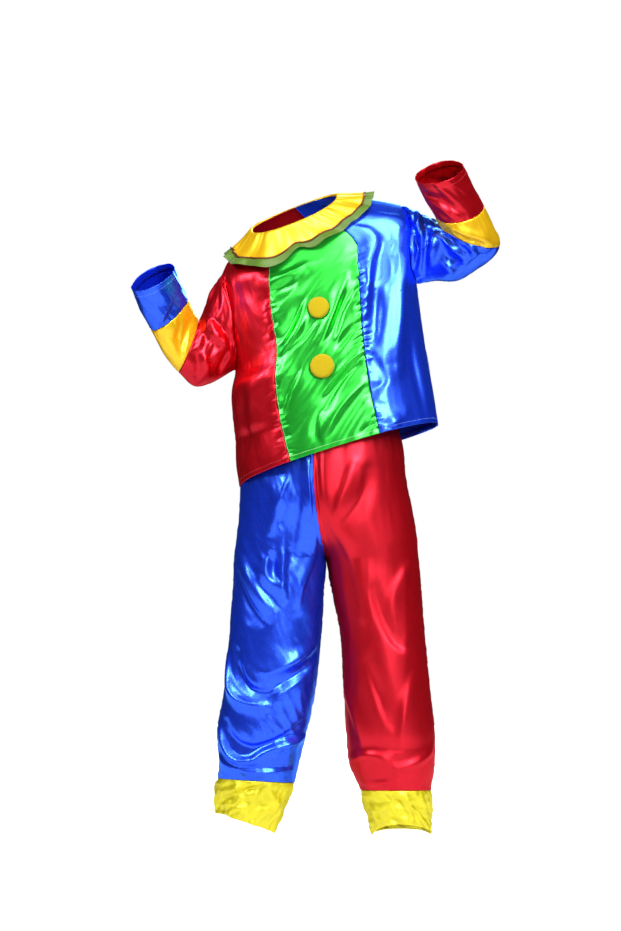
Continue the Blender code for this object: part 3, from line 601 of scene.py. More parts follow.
def puckers(from_seam, along, pitch, seed):
    """Short creases square to a seam, which fade within about 20 mm of it."""
    drawn = soft_noise(along / pitch + 0.02 * from_seam, from_seam / 30, seed)
    uneven = 0.6 + 0.4 * soft_noise(along / 70, 0 * along, seed + 5)
    return (0.5 - abs(drawn)) * 2 * uneven * near(from_seam, 15)


def from_line(degrees, line, arc):
    """Millimetres round a tube from the line at those degrees, the short way."""
    return abs((degrees - line + 180) % 360 - 180) * arc


def torso_base(degrees, station):
    rings = []
    for row in TORSO:
        right, left = np.array([row[1], 0, row[2]]), np.array([row[3], 0, row[4]])
        front, back = np.array([0, -row[5], row[6]]), np.array([0, row[7], row[8]])
        rings.append(oval(degrees, (right + left) / 2, (left - right) / 2, front, back,
                          TORSO_SQUARENESS))
    return through([row[0] for row in TORSO], np.array(rings), station)


def beside_buttons(degrees, station):
    """0 under a button, which holds the cloth flat, and 1 from there on outwards."""
    free = np.ones(np.broadcast(degrees, station).shape)
    for name, at_degrees, at_station, radius, height in BUTTONS:
        away = np.hypot((degrees - at_degrees) * TORSO_ARC, station - at_station)
        free = free * (1 - 0.92 * near(away**2, (radius + 7) ** 2))
    return free


def torso_folds(degrees, station):
    folds = fold_height(TORSO_FOLDS, degrees, station, TORSO_ARC)
    return sizes().fold_share * folds * beside_buttons(degrees, station)


def torso(degrees, station):
    """The tunic body: 0 degrees is the front, 90 the wearer's left; stations rise from the hem."""
    degrees, station = np.broadcast_arrays(np.asarray(degrees, float), station)
    return lifted(torso_base, torso_folds(degrees, station), degrees, station)


def armhole_swing(station):
    """Degrees that the armhole's edge stands forward of the side, at this station."""
    middle, half = (ARMPIT + SHOULDER) / 2, (SHOULDER - ARMPIT) / 2
    inside = 1 - ((np.asarray(station, float) - middle) / half) ** 2
    return ARMHOLE_HALF_WIDTH * np.sqrt(np.maximum(inside, 0))


def armhole(side, degrees):
    """The edge that a sleeve is sewn to: 90 degrees is the shoulder and -90 the armpit."""
    turn = np.radians(degrees)
    station = (ARMPIT + SHOULDER) / 2 + (SHOULDER - ARMPIT) / 2 * np.sin(turn)
    return torso(side * (90 - ARMHOLE_HALF_WIDTH * np.cos(turn)), station)


def sleeve_base(side, degrees, station):
    rings = [armhole(side, degrees)]
    for row in SLEEVES[side]:
        top, low = np.array([row[1], row[5], row[2]]), np.array([row[3], row[5], row[4]])
        front = np.array(row[6:9])
        rings.append(oval(degrees, (top + low) / 2, (top - low) / 2, front, -front, 2))
    return through([0] + [row[0] for row in SLEEVES[side]], np.array(rings), station)


def joined_part(station):
    """1 where one oval runs round both hips, falling in a round curve to 0 at the crotch."""
    down = np.clip((station - SEAT) / (CROTCH - SEAT), 0, 1)
    return np.sqrt(1 - down**2)


def outwards_part(degrees):
    """How far each place of a leg's section lies from its inseam, 0, to its outseam, 1."""
    turn, power = np.radians(degrees), LEG_SQUARENESS
    across, ahead = np.sin(turn), np.cos(turn)
    stretch = (abs(across) ** power + abs(ahead) ** power) ** (-1 / power)
    return np.clip((1 + across * stretch) / 2, 0, 1)


def hip_depth(degrees, station):
    """How far the oval round both hips stands forward or back, over each point of a leg's own."""
    reach = (1 - outwards_part(degrees) ** HIP_SQUARENESS) ** (1 / HIP_SQUARENESS)
    level = np.minimum(station, CROTCH)
    front, back = [column_at(HIPS, column, level)
                   for column in (HIP_FRONT_COLUMN, HIP_BACK_COLUMN)]
    return reach * np.where(np.cos(np.radians(degrees)) > 0, front, back)


def leg_rings(side, degrees):
    """Each section of one leg, from the waistband to the hem, with a round of its own."""
    rings = []
    for row in HIPS:
        outer = np.array([row[3], 0, row[4]] if side == LEFT else [row[1], 0, row[2]])
        middle = np.array([row[5], 0, row[6]])
        front, back = np.array([0, -row[7], 0]), np.array([0, row[8], 0])
        rings.append(oval(degrees, (outer + middle) / 2, (outer - middle) / 2,
                          front * THIGH_DEPTH, back * THIGH_DEPTH, LEG_SQUARENESS))
    for row in LEGS[side]:
        outer, inner = np.array([row[1], row[5], row[2]]), np.array([row[3], row[5], row[4]])
        front = np.array([0, -row[6], row[7]])
        rings.append(oval(degrees, (outer + inner) / 2, (outer - inner) / 2, front,
                          np.array([0, row[6], 0]), LEG_SQUARENESS))
    return np.array(rings)


def leg_base(side, degrees, station):
    hips = [row[0] for row in HIPS]
    stations = hips + [row[0] for row in LEGS[side]]
    point = through(stations, leg_rings(side, degrees), station)
    seam_rings = leg_rings(side, np.full(np.shape(degrees), -90.0))
    own_seam = through(stations, seam_rings, station)
    shared_seam = through(hips, seam_rings[: len(hips)], np.minimum(station, CROTCH))
    nearness = np.where(station < CROTCH, 1 - outwards_part(degrees), 0)
    point += (shared_seam - own_seam) * nearness[..., None]
    joined = joined_part(station)
    own, both = abs(point[..., 1]), joined * hip_depth(degrees, station)
    depth = np.cbrt(own**3 * (1 - joined**3) + both**3)
    facing = np.where(np.cos(np.radians(degrees)) > 0, -1, 1)
    point[..., 1] = np.where(joined > 0, facing * depth, point[..., 1])
    return point


def edge_lines(length, step, start, end):
    """Places from 0 to length, and depths, of the lines of points between two finished edges."""
    first, last = start[-1][0], length - end[-1][0]
    count = max(2, round((last - first) / step))
    inner = list(np.linspace(first, last, count + 1)[1:-1])
    places = [row[0] for row in start] + inner + [length - row[0] for row in end[::-1]]
    depths = [row[1] for row in start] + [0.0] * len(inner) + [row[1] for row in end[::-1]]
    return np.array(places), np.array(depths)


def finished_object(name, mesh):
    data = bpy.data.meshes.new(name)
    mesh.to_mesh(data)
    mesh.free()
    item = bpy.data.objects.new(name, data)
    bpy.context.scene.collection.objects.link(item)
    return item


def mapped_grid(points, across, along, facing, wraps):
    """A flat grid whose points are moved to their places, row by row.

    across and along are each point's place on the flat cloth in millimetres, for the weave."""
    rows, columns = points.shape[:2]
    mesh = bmesh.new()
    bmesh.ops.create_grid(mesh, x_segments=columns - 1, y_segments=rows - 1, size=1)
    flat = np.array([vert.co for vert in mesh.verts])
    column = np.rint((flat[:, 0] + 1) / 2 * (columns - 1)).astype(int)
    row = np.rint((flat[:, 1] + 1) / 2 * (rows - 1)).astype(int)
    for vert, place in zip(mesh.verts, points[row, column] * MM):
        vert.co = place
    weave = np.stack([across[row, column], along[row, column]], axis=-1) * MM
    layer = mesh.loops.layers.uv.new("weave")
    for face in mesh.faces:
        face.smooth = True
        for corner in face.loops:
            corner[layer].uv = weave[corner.vert.index]
    if wraps:
        bmesh.ops.remove_doubles(mesh, verts=mesh.verts, dist=1e-6)
    if facing < 0:
        bmesh.ops.reverse_faces(mesh, faces=mesh.faces)
    return mesh


def cloth_object(name, points, across, along, facing, wraps, thickness):
    """A thin piece of cloth on the grid's points."""
    item = finished_object(name, mapped_grid(points, across, along, facing, wraps))
    wall = item.modifiers.new("thickness", "SOLIDIFY")
    wall.thickness = thickness
    wall.offset = -1
    return item


def dress(item, nodes, finish):
    """Gives a piece its finish, and puts it on the frame in place of its CAD nodes."""
    item.data.materials.append(finish)
    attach(item, "root")
    if nodes:
        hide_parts(*nodes)
    return item


def add_node(tree, kind, links=(), **settings):
    """Adds a node, sets what is named, and links its inputs: (input, node, output)."""
    node = tree.nodes.new(kind)
    for key, value in settings.items():
        if hasattr(node, key):
            setattr(node, key, value)
        else:
            node.inputs[key.replace("_", " ")].default_value = value
    for socket, source, output in links:
        tree.links.new(source.outputs[output], node.inputs[socket])
    return node


def new_material(name, **values):
    made = bpy.data.materials.new(name)
    made.use_nodes = True
    tree = made.node_tree
    shader = tree.nodes["Principled BSDF"]
    for key, value in values.items():
        shader.inputs[key.replace("_", " ")].default_value = value
    return made, tree, shader


def on_weave(tree, across, along, **settings):
    """The place on the flat cloth, counted in steps of that many metres each way."""
    place = add_node(tree, "ShaderNodeUVMap", uv_map="weave")
    return add_node(tree, "ShaderNodeMapping", [("Vector", place, "UV")],
                    Scale=(1 / across, 1 / along, 1), **settings)


def texture_on(tree, kind, place, **settings):
    """A noise or wave texture over that place; without one, over the piece itself in metres."""
    if place:
        link = ("Vector", place, "Vector")
    else:
        link = ("Vector", add_node(tree, "ShaderNodeTexCoord"), "Object")
    return add_node(tree, kind, [link], **settings)


def relief(tree, shader, *layers):
    """Bump from each layer in turn: (texture, strength, distance in metres)."""
    below = []
    for texture, strength, distance in layers:
        bump = add_node(tree, "ShaderNodeBump", [("Height", texture, "Fac")] + below,
                        Strength=strength, Distance=distance)
        below = [("Normal", bump, "Normal")]
    tree.links.new(bump.outputs["Normal"], shader.inputs["Normal"])


def tone_and_painted_shade(tree, shader, texture, colour, dark, light):
    """The base colour runs between these two shares of the colour with the texture. Where the
    texture is also the bump's height, as for each piece here, this paints shade into the low
    places of the relief and light onto the high ones, besides varying the tone.
    """
    node = add_node(tree, "ShaderNodeMix", data_type="RGBA")
    tree.links.new(texture.outputs["Fac"], node.inputs[0])
    node.inputs[6].default_value = (*[c * dark for c in colour], 1)
    node.inputs[7].default_value = (*[min(1, c * light) for c in colour], 1)
    tree.links.new(node.outputs[2], shader.inputs["Base Color"])


def satin(name, colour, glow, metallic, roughness):
    """Polyester satin, woven with long floats: a slippery face that shines in broad bands
    along the folds, in a pale tint of its own colour, and stays deep where it turns away."""
    made, tree, shader = new_material(
        name, Metallic=metallic, IOR=2.4, Anisotropic=0.4, Specular_Tint=(*glow, 1),
        Specular_IOR_Level=1.0, Coat_Weight=0.1, Coat_Roughness=0.3, Coat_IOR=1.5)
    # Floats of the weave, drawn as 1.2 mm streaks because the real 0.1 mm ones don't show
    floats = texture_on(tree, "ShaderNodeTexNoise", on_weave(tree, 0.0012, 0.018),
                        Scale=1.0, Detail=2.0, Roughness=0.6)
    # Slight wrinkles left from the packet, about 30 mm apart, drawn as bump and as painted shade
    # and painted light in the base colour
    wrinkle = texture_on(tree, "ShaderNodeTexNoise", on_weave(tree, 0.03, 0.03),
                         Scale=1.0, Detail=3.0, Roughness=0.55, Distortion=0.4)
    relief(tree, shader, (floats, 0.03, 0.0002), (wrinkle, 0.09, 0.002))
    # Painted shade in the wrinkles' troughs and painted light on their crests, together with a
    # change of tone: the base colour follows the bump's noise
    tone_and_painted_shade(tree, shader, wrinkle, colour, 0.85, 1.1)
    rough = add_node(tree, "ShaderNodeMapRange", [("Value", floats, "Fac")],
                     From_Min=0.25, From_Max=0.75, To_Min=roughness - 0.03,
                     To_Max=roughness + 0.03)
    tree.links.new(rough.outputs["Result"], shader.inputs["Roughness"])
    tangent = add_node(tree, "ShaderNodeTangent", direction_type="UV_MAP", uv_map="weave")
    tree.links.new(tangent.outputs["Tangent"], shader.inputs["Tangent"])
    return made


SATINS = {
    # slot: which colour setting, tint of its highlights, metallic share, roughness
    "satin_red": ("red", "#FF5878", 0.64, 0.35),
    "satin_green": ("green", "#90FF98", 0.74, 0.31),
    "satin_blue": ("blue", "#80E0FF", 0.7, 0.29),
    "satin_yellow": ("yellow", "#FFE864", 0.35, 0.36),
    "satin_lemon": ("lemon", "#FFF468", 0.34, 0.4),
}


def satin_of(slot):
    """The satin of that slot, made once."""
    setting, glow, metallic, roughness = SATINS[slot]
    name = "polyester_" + slot
    if name not in bpy.data.materials:
        colour = tuple(getattr(bpy.context.scene.costume_colours, setting))
        satin(name, colour, linear(glow), metallic, roughness)
    return bpy.data.materials[name]


def organza(colour):
    """Organza ribbon: sheer plain weave of fine stiff yarn, so the cloth below shows through
    and the gathers are darker where it doubles."""
    made, tree, shader = new_material(
        "sheer_organza_green", Base_Color=(*colour, 1), Roughness=0.42, IOR=1.5, Alpha=0.8,
        Sheen_Weight=0.3, Sheen_Roughness=0.35)
    # Yarns 0.3 mm apart on the real ribbon, drawn 1 mm apart so that they show
    yarns = texture_on(tree, "ShaderNodeTexWave", on_weave(tree, 0.001, 0.001),
                       Scale=0.5, Distortion=1.0)
    relief(tree, shader, (yarns, 0.3, 0.0002))
    return made


def covered_cord(colour):
    """Piping: a cotton cord in a bias strip of satin, whose twist shows through a little."""
    made, tree, shader = new_material(
        "satin_covered_cord", Base_Color=(*colour, 1), Roughness=0.36, Metallic=0.3, IOR=1.5)
    # Ridges of the covered cord, 2.5 mm apart and leaning
    leaning = on_weave(tree, 0.0025, 0.0025, Rotation=(0, 0, math.radians(35)))
    twist = texture_on(tree, "ShaderNodeTexWave", leaning, Scale=0.5, Distortion=0.6)
    relief(tree, shader, (twist, 0.4, 0.0005))
    return made


def felt(colour):
    """Wool felt over a padded disc: no shine at all, a soft nap and small clumps of fibre."""
    made, tree, shader = new_material(
        "wool_felt_yellow", Roughness=0.95, Specular_IOR_Level=0.15, Sheen_Weight=0.4,
        Sheen_Roughness=0.6, Sheen_Tint=(*linear("#FFE060"), 1))
    # Clumps about 3 mm across, and single fibres at 0.7 mm
    clumps = texture_on(tree, "ShaderNodeTexNoise", None, Scale=1 / 0.003, Detail=4.0,
                        Roughness=0.7)
    fibres = texture_on(tree, "ShaderNodeTexNoise", None, Scale=1 / 0.0007, Detail=2.0,
                        Roughness=0.6)
    relief(tree, shader, (fibres, 0.5, 0.0003), (clumps, 0.5, 0.001))
    # Painted shade between the clumps and painted light on them, together with a change of tone:
    # the base colour follows the clumps' bump noise
    tone_and_painted_shade(tree, shader, clumps, colour, 0.8, 1.12)
    return made


def sewing_thread(slot, hex_colour):
    """Polyester sewing thread: fine twisted yarn with a little shine."""
    name = "sewing_thread_" + slot
    if name not in bpy.data.materials:
        made, tree, shader = new_material(name, Base_Color=(*linear(hex_colour), 1),
                                          Roughness=0.45, IOR=1.5)
        ply = texture_on(tree, "ShaderNodeTexNoise", None, Scale=1 / 0.0008, Detail=1.0)
        relief(tree, shader, (ply, 0.3, 0.0001))
    return bpy.data.materials[name]


def sizes():
    return bpy.context.scene.costume_sizes


def tunic_height(degrees, station, first, last, grain):
    """Relief of one panel of the tunic between its two edges, which are given in degrees."""
    from_first, from_last = (degrees - first) * TORSO_ARC, (last - degrees) * TORSO_ARC
    edge = np.minimum(from_first, from_last)
    bare = np.clip((UNDER_COLLAR - station) / 26, 0, 1) * beside_buttons(degrees, station)
    small = creases(degrees * TORSO_ARC, station, grain)
    height = torso_folds(degrees, station)
    height += sizes().crumple / MM * small * away_from(edge, 12) * bare
    set_in = near(armhole_swing(station), 6)
    for from_seam, seam in ((from_first, first), (from_last, last)):
        at = np.ravel(seam)[0]
        strength = SIDE_DRAW * set_in if abs(at) > 80 else LEFT_DRAW if at > 0 else RIGHT_DRAW
        pitch = LEFT_PITCH if at > 0 else RIGHT_PITCH
        drawn = puckers(from_seam, station, pitch, SEAM_SEED + int(abs(at)))
        height += sizes().pucker / MM * drawn * bare * strength
    hem_draw = soft_noise(degrees * TORSO_ARC / 16, station / 40, HEM_SEED)
    height += 1.1 * hem_draw * near(station - 12, 14) * away_from(edge, 6)
    return height


class Cut:
    """A cut piece of cloth: a surface read in degrees and stations, with its relief."""

    def __init__(self, base, height, facing, arc, limits=NO_LIMITS):
        self.base = base
        self.height = height
        self.facing = facing
        self.arc = arc
        self.limits = limits

    def points(self, degrees, station, depth=0.0):
        """Places on the finished cloth, that depth under its face."""
        step = 0.5
        low, high = self.limits
        after, before = np.minimum(degrees + step, high), np.maximum(degrees - step, low)
        along = self.base(after, station) - self.base(before, station)
        up = self.base(degrees, station + step) - self.base(degrees, station - step)
        lift = self.facing * (self.height(degrees, station) - depth)
        return self.base(degrees, station) + unit(np.cross(along, up)) * lift[..., None]

    def normals(self, degrees, station):
        """The way out of the finished cloth at each place."""
        along = self.points(degrees + 0.4, station) - self.points(degrees - 0.4, station)
        up = self.points(degrees, station + 0.7) - self.points(degrees, station - 0.7)
        return unit(np.cross(along, up)) * self.facing


def make_cut(name, cut, degrees, station, depth, slot, nodes, wraps):
    """The cloth object of a cut over a grid of degrees and stations."""
    points = cut.points(degrees, station, depth)
    item = cloth_object(name, points, degrees * cut.arc, station, cut.facing, wraps,
                        sizes().cloth)
    return dress(item, nodes, satin_of(slot))


def flat_grid(places, stations, place_depth, station_depth):
    """Spreads two lines of places and depths to a grid."""
    across, along = np.meshgrid(places, stations)
    return across, along, np.maximum(*np.meshgrid(place_depth, station_depth))


def make_tube(name, cut, start, end, last_edge, count, slot):
    """A tube of cloth between two stations, closed along the line at -90 degrees."""
    station, station_depth = edge_lines(end - start, sizes().mesh_step / MM, SEAM_EDGE, last_edge)
    degrees = np.linspace(-90, 270, count + 1)
    across, along, depth = flat_grid(degrees, station + start, 0 * degrees, station_depth)
    item = make_cut(name + "_cloth", cut, across, along, depth, slot, [name], True)


def stitches(name, lines, slot):
    """Rows of machine stitches, each along a line on a cut, as one mesh of small bars."""
    length, thick = sizes().stitch / MM, sizes().thread / MM
    mesh = bmesh.new()
    for cut, degrees, station in lines:
        line, out = cut.points(degrees, station), cut.normals(degrees, station)
        ahead = np.gradient(line, axis=0)
        run = np.concatenate([[0], np.cumsum(np.linalg.norm(np.diff(line, axis=0), axis=1))])
        for at in np.arange(length, run[-1] - length, length * STITCH_PITCH):
            place, forward, normal = [Vector([np.interp(at, run, values[:, i]) for i in range(3)])
                                      for values in (line, ahead, out)]
            side = normal.cross(forward).normalized()
            turn = Matrix((side.cross(normal), side, normal.normalized())).transposed().to_4x4()
            size = Matrix.Diagonal((length * MM, thick * MM, thick * MM, 1))
            bmesh.ops.create_cube(mesh, size=1,
                                  matrix=Matrix.Translation(place * MM) @ turn @ size)
    item = finished_object(name, mesh)
    dress(item, [], sewing_thread(slot, THREADS[slot]))


def right_side(station):
    return armhole_swing(station) - 90


def right_seam(station):
    return column_at(TORSO, RIGHT_SEAM_COLUMN, station)


def left_seam(station):
    drawn = soft_noise(station / 9, 0 * station, LEFT_SEAM_SEED) * near(station - 430, 110)
    return column_at(TORSO, LEFT_SEAM_COLUMN, station) + 0.55 * drawn


def left_side(station):
    return 90 - armhole_swing(station)


def left_side_back(station):
    return 90 + armhole_swing(station)


def middle_back(station):
    return np.full(np.shape(station), 180.0)


def middle_back_start(station):
    return np.full(np.shape(station), -180.0)


def right_side_back(station):
    return -90 - armhole_swing(station)


TUNIC_CUTS = (
    # name, first edge, last edge, slot, flat width and length, flat area
    ("tunic_front_red", right_side, right_seam, "satin_red", (0.24, 0.64), 0.098),
    ("tunic_front_green", right_seam, left_seam, "satin_green", (0.22, 0.64), 0.125),
    ("tunic_front_blue", left_seam, left_side, "satin_blue", (0.28, 0.66), 0.13),
    ("tunic_back_blue", left_side_back, middle_back, "satin_blue", (0.36, 0.66), 0.19),
    ("tunic_back_red", middle_back_start, right_side_back, "satin_red", (0.36, 0.66), 0.18),
)


def tunic_cut(name, first_edge, last_edge):
    def height(degrees, station):
        edges = [edge(np.ravel(station)).reshape(station.shape)
                 for edge in (first_edge, last_edge)]
        return tunic_height(degrees, station, *edges, TUNIC_GRAIN[name])

    return Cut(torso_base, height, 1, TORSO_ARC)


class COSTUME_OT_tunic(bpy.types.Operator):
    """Make the five panels of the tunic body"""

    bl_idname = "costume.tunic"
    bl_label = "Tunic panels"

    def execute(self, context):
        step = sizes().mesh_step / MM
        for name, first_edge, last_edge, slot, flat, area in TUNIC_CUTS:
            spacing = step if "front" in name else step * 1.4
            station, station_depth = edge_lines(NECK, spacing, HEM_EDGE, NECK_EDGE)
            first, last = first_edge(station)[:, None], last_edge(station)[:, None]
            width = float(np.mean(last - first)) * TORSO_ARC
            places, place_depth = edge_lines(width, spacing, SEAM_EDGE, SEAM_EDGE)
            across, along, depth = flat_grid(places / width, station, place_depth, station_depth)
            degrees = first + (last - first) * across
            cut = tunic_cut(name, first_edge, last_edge)
            item = make_cut(name + "_cloth", cut, degrees, along, depth, slot, [name], False)
        return {"FINISHED"}


def sleeve_height(side, degrees, station):
    """Relief of a whole sleeve: its folds, gathered head, drawn seams and small creases."""
    across, from_underarm = degrees * SLEEVE_ARC, from_line(degrees, -90, SLEEVE_ARC)
    folds = fold_height(SLEEVE_FOLDS[side], degrees, station, SLEEVE_ARC)
    height = SLEEVE_DEPTH[side] * sizes().fold_share * folds * away_from(station, 12)
    free = away_from(from_underarm, 7)
    calm = np.ones(height.shape)
    for seam, seed in zip(SLEEVE_SEAMS[side], SLEEVE_SEAM_SEEDS):
        from_seam = abs(station - seam)
        height += sizes().pucker / MM * puckers(from_seam, across, 9, seed + side) * free
        calm *= away_from(from_seam, 9)
    small = creases(across, station, SLEEVE_GRAIN[side])
    height += sizes().crumple / MM * small * free * calm * away_from(station, 10)
    head = soft_noise(across / 7, station / 60, HEAD_SEED + side)
    height += HEAD_GATHERS[side] * head * free * near(station, 26) * away_from(station, 4)
    height -= 1.2 * near(from_underarm, 3) * away_from(station, 6)
    return height


SLEEVE_CUTS = (
    # name, side, from, to, slot, flat width and length, flat area
    ("sleeve_right_red", RIGHT, 0, RIGHT_BAND, "satin_red", (0.48, 0.22), 0.08),
    ("sleeve_right_band", RIGHT, RIGHT_BAND, RIGHT_CUFF, "satin_yellow", (0.42, 0.1), 0.037),
    ("sleeve_right_cuff", RIGHT, RIGHT_CUFF, RIGHT_WRIST, "satin_blue", (0.4, 0.12), 0.042),
    ("sleeve_left_blue", LEFT, 0, LEFT_BAND, "satin_blue", (0.5, 0.21), 0.086),
    ("sleeve_left_band", LEFT, LEFT_BAND, LEFT_CUFF, "satin_yellow", (0.46, 0.08), 0.031),
    ("sleeve_left_cuff", LEFT, LEFT_CUFF, LEFT_WRIST, "satin_red", (0.45, 0.12), 0.047),
)


def sleeve_cut(side):
    return Cut(partial(sleeve_base, side), partial(sleeve_height, side), -side, SLEEVE_ARC)


class COSTUME_OT_sleeves(bpy.types.Operator):
    """Make both sleeves, each of three tubes sewn end to end"""

    bl_idname = "costume.sleeves"
    bl_label = "Sleeves"

    def execute(self, context):
        count = round(360 * SLEEVE_ARC / (sizes().mesh_step / MM))
        for name, side, start, end, slot, flat, area in SLEEVE_CUTS:
            last_edge = HEM_EDGE if end in (RIGHT_WRIST, LEFT_WRIST) else SEAM_EDGE
            make_tube(name, sleeve_cut(side), start, end, last_edge, count, slot)
        return {"FINISHED"}


def leg_height(side, degrees, station):
    """Relief of a whole leg: folds, gathered waist, drawn seams and small creases."""
    across = degrees * LEG_ARC
    from_inseam, from_outseam = [from_line(degrees, line, LEG_ARC) for line in (-90, 90)]
    edge = np.minimum(from_inseam, from_outseam)
    from_ring = abs(station - LEG_CUFF[side])
    folds = fold_height(LEG_FOLDS[side], degrees, station, LEG_ARC)
    height = LEG_DEPTH[side] * sizes().fold_share * folds * away_from(from_inseam, 21)
    small = creases(across, station, LEG_GRAIN[side])
    height += sizes().crumple / MM * small * away_from(edge, 12) * away_from(from_ring, 9)
    height += sizes().pucker / MM * (
        puckers(from_outseam, station, 13, OUTSEAM_SEED + side)
        + puckers(from_inseam, station, 13, INSEAM_SEED)
        + puckers(from_ring, across, 11, RING_SEED + side) * away_from(edge, 8))
    on_cuff = away_from(np.maximum(station - LEG_CUFF[side], 0), 9)
    height += creases(across, station, LEG_CUFF_GRAIN[side]) * away_from(from_inseam, 8) * on_cuff
    waist = soft_noise(across / 11, station / 200, WAIST_SEED + side)
    height += WAIST_GATHERS * waist * np.exp(-np.maximum(station, 0) / 110) * away_from(edge, 10)
    return height


def leg_cut(side, limits=NO_LIMITS):
    return Cut(partial(leg_base, side), partial(leg_height, side), -side, LEG_ARC, limits)


LEG_CUTS = (
    # name, side, first degrees, last degrees, slot, flat width and length, flat area
    ("leg_right_front", RIGHT, -90, 90, "satin_blue", (0.36, 0.93), 0.28),
    ("leg_right_back", RIGHT, 90, 270, "satin_blue", (0.37, 0.94), 0.285),
    ("leg_left_front", LEFT, -90, 90, "satin_red", (0.37, 0.95), 0.305),
    ("leg_left_back", LEFT, 90, 270, "satin_red", (0.38, 0.96), 0.31),
)

CUFF_CUTS = (
    # name, side, flat width and length, flat area
    ("leg_right_cuff", RIGHT, (0.5, 0.13), 0.062),
    ("leg_left_cuff", LEFT, (0.47, 0.13), 0.058),
)


class COSTUME_OT_trousers(bpy.types.Operator):
    """Make the legs of the trousers, their cuffs and the gathered waistband"""

    bl_idname = "costume.trousers"
    bl_label = "Trousers"

    def execute(self, context):
        step = sizes().mesh_step / MM
        for name, side, first, last, slot, flat, area in LEG_CUTS:
            spacing = step * (1.1 if "front" in name else 1.5)
            station, station_depth = edge_lines(LEG_CUFF[side], spacing, SEAM_EDGE, SEAM_EDGE)
            keep = (station < CROTCH_ROWS[0] - 2) | (station > CROTCH_ROWS[-1] + 2)
            station = np.concatenate([station[keep], CROTCH_ROWS])
            station_depth = np.concatenate([station_depth[keep], 0.0 * np.array(CROTCH_ROWS)])
            order = np.argsort(station, kind="stable")
            places, place_depth = edge_lines((last - first) * LEG_ARC, spacing, SEAM_EDGE,
                                             SEAM_EDGE)
            across, along, depth = flat_grid(places / LEG_ARC + first, station[order], place_depth,
                                             station_depth[order])
            item = make_cut(name + "_cloth", leg_cut(side, (first + 0.01, last - 0.01)), across,
                            along, depth, slot, [name], False)
        count = round(360 * LEG_ARC * CUFF_COARSENESS / step)
        for name, side, flat, area in CUFF_CUTS:
            make_tube(name, leg_cut(side), LEG_CUFF[side], LEG_HEM[side], HEM_EDGE, count,
                      "satin_lemon")
        self.waistband()
        return {"FINISHED"}

    def waistband(self):
        """The casing goes up, over the elastic and down again inside, gathered all round."""
        top = HIPS[0][0]
        outside = np.linspace(-0.5, top, 10)
        station = np.concatenate([outside, [top - 1.2], outside[::-1]])
        depth = np.concatenate([np.zeros(10), [1.5], np.full(10, 3.0)])
        degrees = np.linspace(-90, 270, 200)
        grids = []
        for side, line in ((LEFT, degrees), (RIGHT, degrees[::-1])):
            around, along, inwards = flat_grid(line, station, 0 * line, depth)
            swell = 1.6 * soft_noise(around * LEG_ARC / 5, along / 60, CASING_SEED)
            channel = 0.8 * np.sin(np.pi * np.clip(along / top, 0, 1)) ** 0.5
            lift = swell * away_from(from_line(around, -90, LEG_ARC), 6) + channel
            cut = Cut(partial(leg_base, side), lambda at_degrees, at_station, lift=lift: lift,
                      -side, LEG_ARC, (-89.9, 269.9))
            grids.append((cut.points(around, along, inwards), around * LEG_ARC * side, along))
        (left, left_across, left_along), (right, right_across, right_along) = grids
        points = np.concatenate([left, right[:, 1:]], axis=1)
        across = np.concatenate([left_across, right_across[:, 1:] + 2000], axis=1)
        along = np.concatenate([left_along, right_along[:, 1:]], axis=1)
        item = cloth_object("waistband_casing", points, across, along, 1, True, sizes().cloth)
        dress(item, ["waistband"], satin_of("satin_red"))


def ruffle_surface(degrees, distance, extra):
    """Places on the ruffle: over the tunic, with waves that grow towards the edge."""
    around, away = np.meshgrid(degrees, distance)
    stations = np.linspace(NECK, 440, 37)
    walk = torso(degrees[None, :], stations[:, None])
    steps = np.linalg.norm(np.diff(walk, axis=0), axis=-1)
    run = np.vstack([np.zeros(len(degrees)), np.cumsum(steps, axis=0)])
    station = np.array([np.interp(distance, run[:, i], stations) for i in range(len(degrees))]).T
    lift, reach = np.zeros(away.shape), np.zeros(away.shape)
    for at, spread, rise, further in RUFFLE_WAVES:
        wave = near(from_line(around, at, 1), spread)
        lift += wave * rise
        reach += wave * further
    grown = away / RIBBON_EDGE
    height = (RUFFLE_WALL + LAP_SPACE + 1.5 * np.sqrt(grown) + lift * grown**1.2
              + extra(around, away))
    down = unit(torso(around, station - 1) - torso(around, station))
    longer = down * (reach * grown**1.2)[..., None]
    return lifted(torso, height, around, station) + longer, around, away


def periodic(degrees, count, seed):
    """Smooth noise round a ring, with about that many waves."""
    turn = np.radians(degrees)
    reach = count / (2 * np.pi)
    return soft_noise(reach * np.cos(turn) + 31, reach * np.sin(turn) + 31, seed)


def gathers(degrees, distance):
    """Small gathers that the neck seam draws in, and the slight waves between the large ones."""
    drawn = 4.2 * abs(periodic(degrees, 60, GATHER_SEED)) * np.exp(-distance / 30)
    waves = 3.0 * periodic(degrees, 44, RUFFLE_SEED) * (distance / RUFFLE_WIDTH) ** 0.8
    return drawn * away_from(distance, 2.5) + waves


def ribbon_waves(degrees, distance):
    """The ruffle's height up to its edge, and beyond it the ribbon's own waves and its curl."""
    beyond = np.clip((distance - RUFFLE_WIDTH) / (RIBBON_EDGE - RUFFLE_WIDTH), 0, 1)
    fine = 3.8 * periodic(degrees, 56, RIBBON_SEED) * beyond
    curled = 9.0 * near(degrees + 74, 3.5) * beyond
    return gathers(degrees, np.minimum(distance, RUFFLE_WIDTH)) + fine + curled + 0.8 * beyond


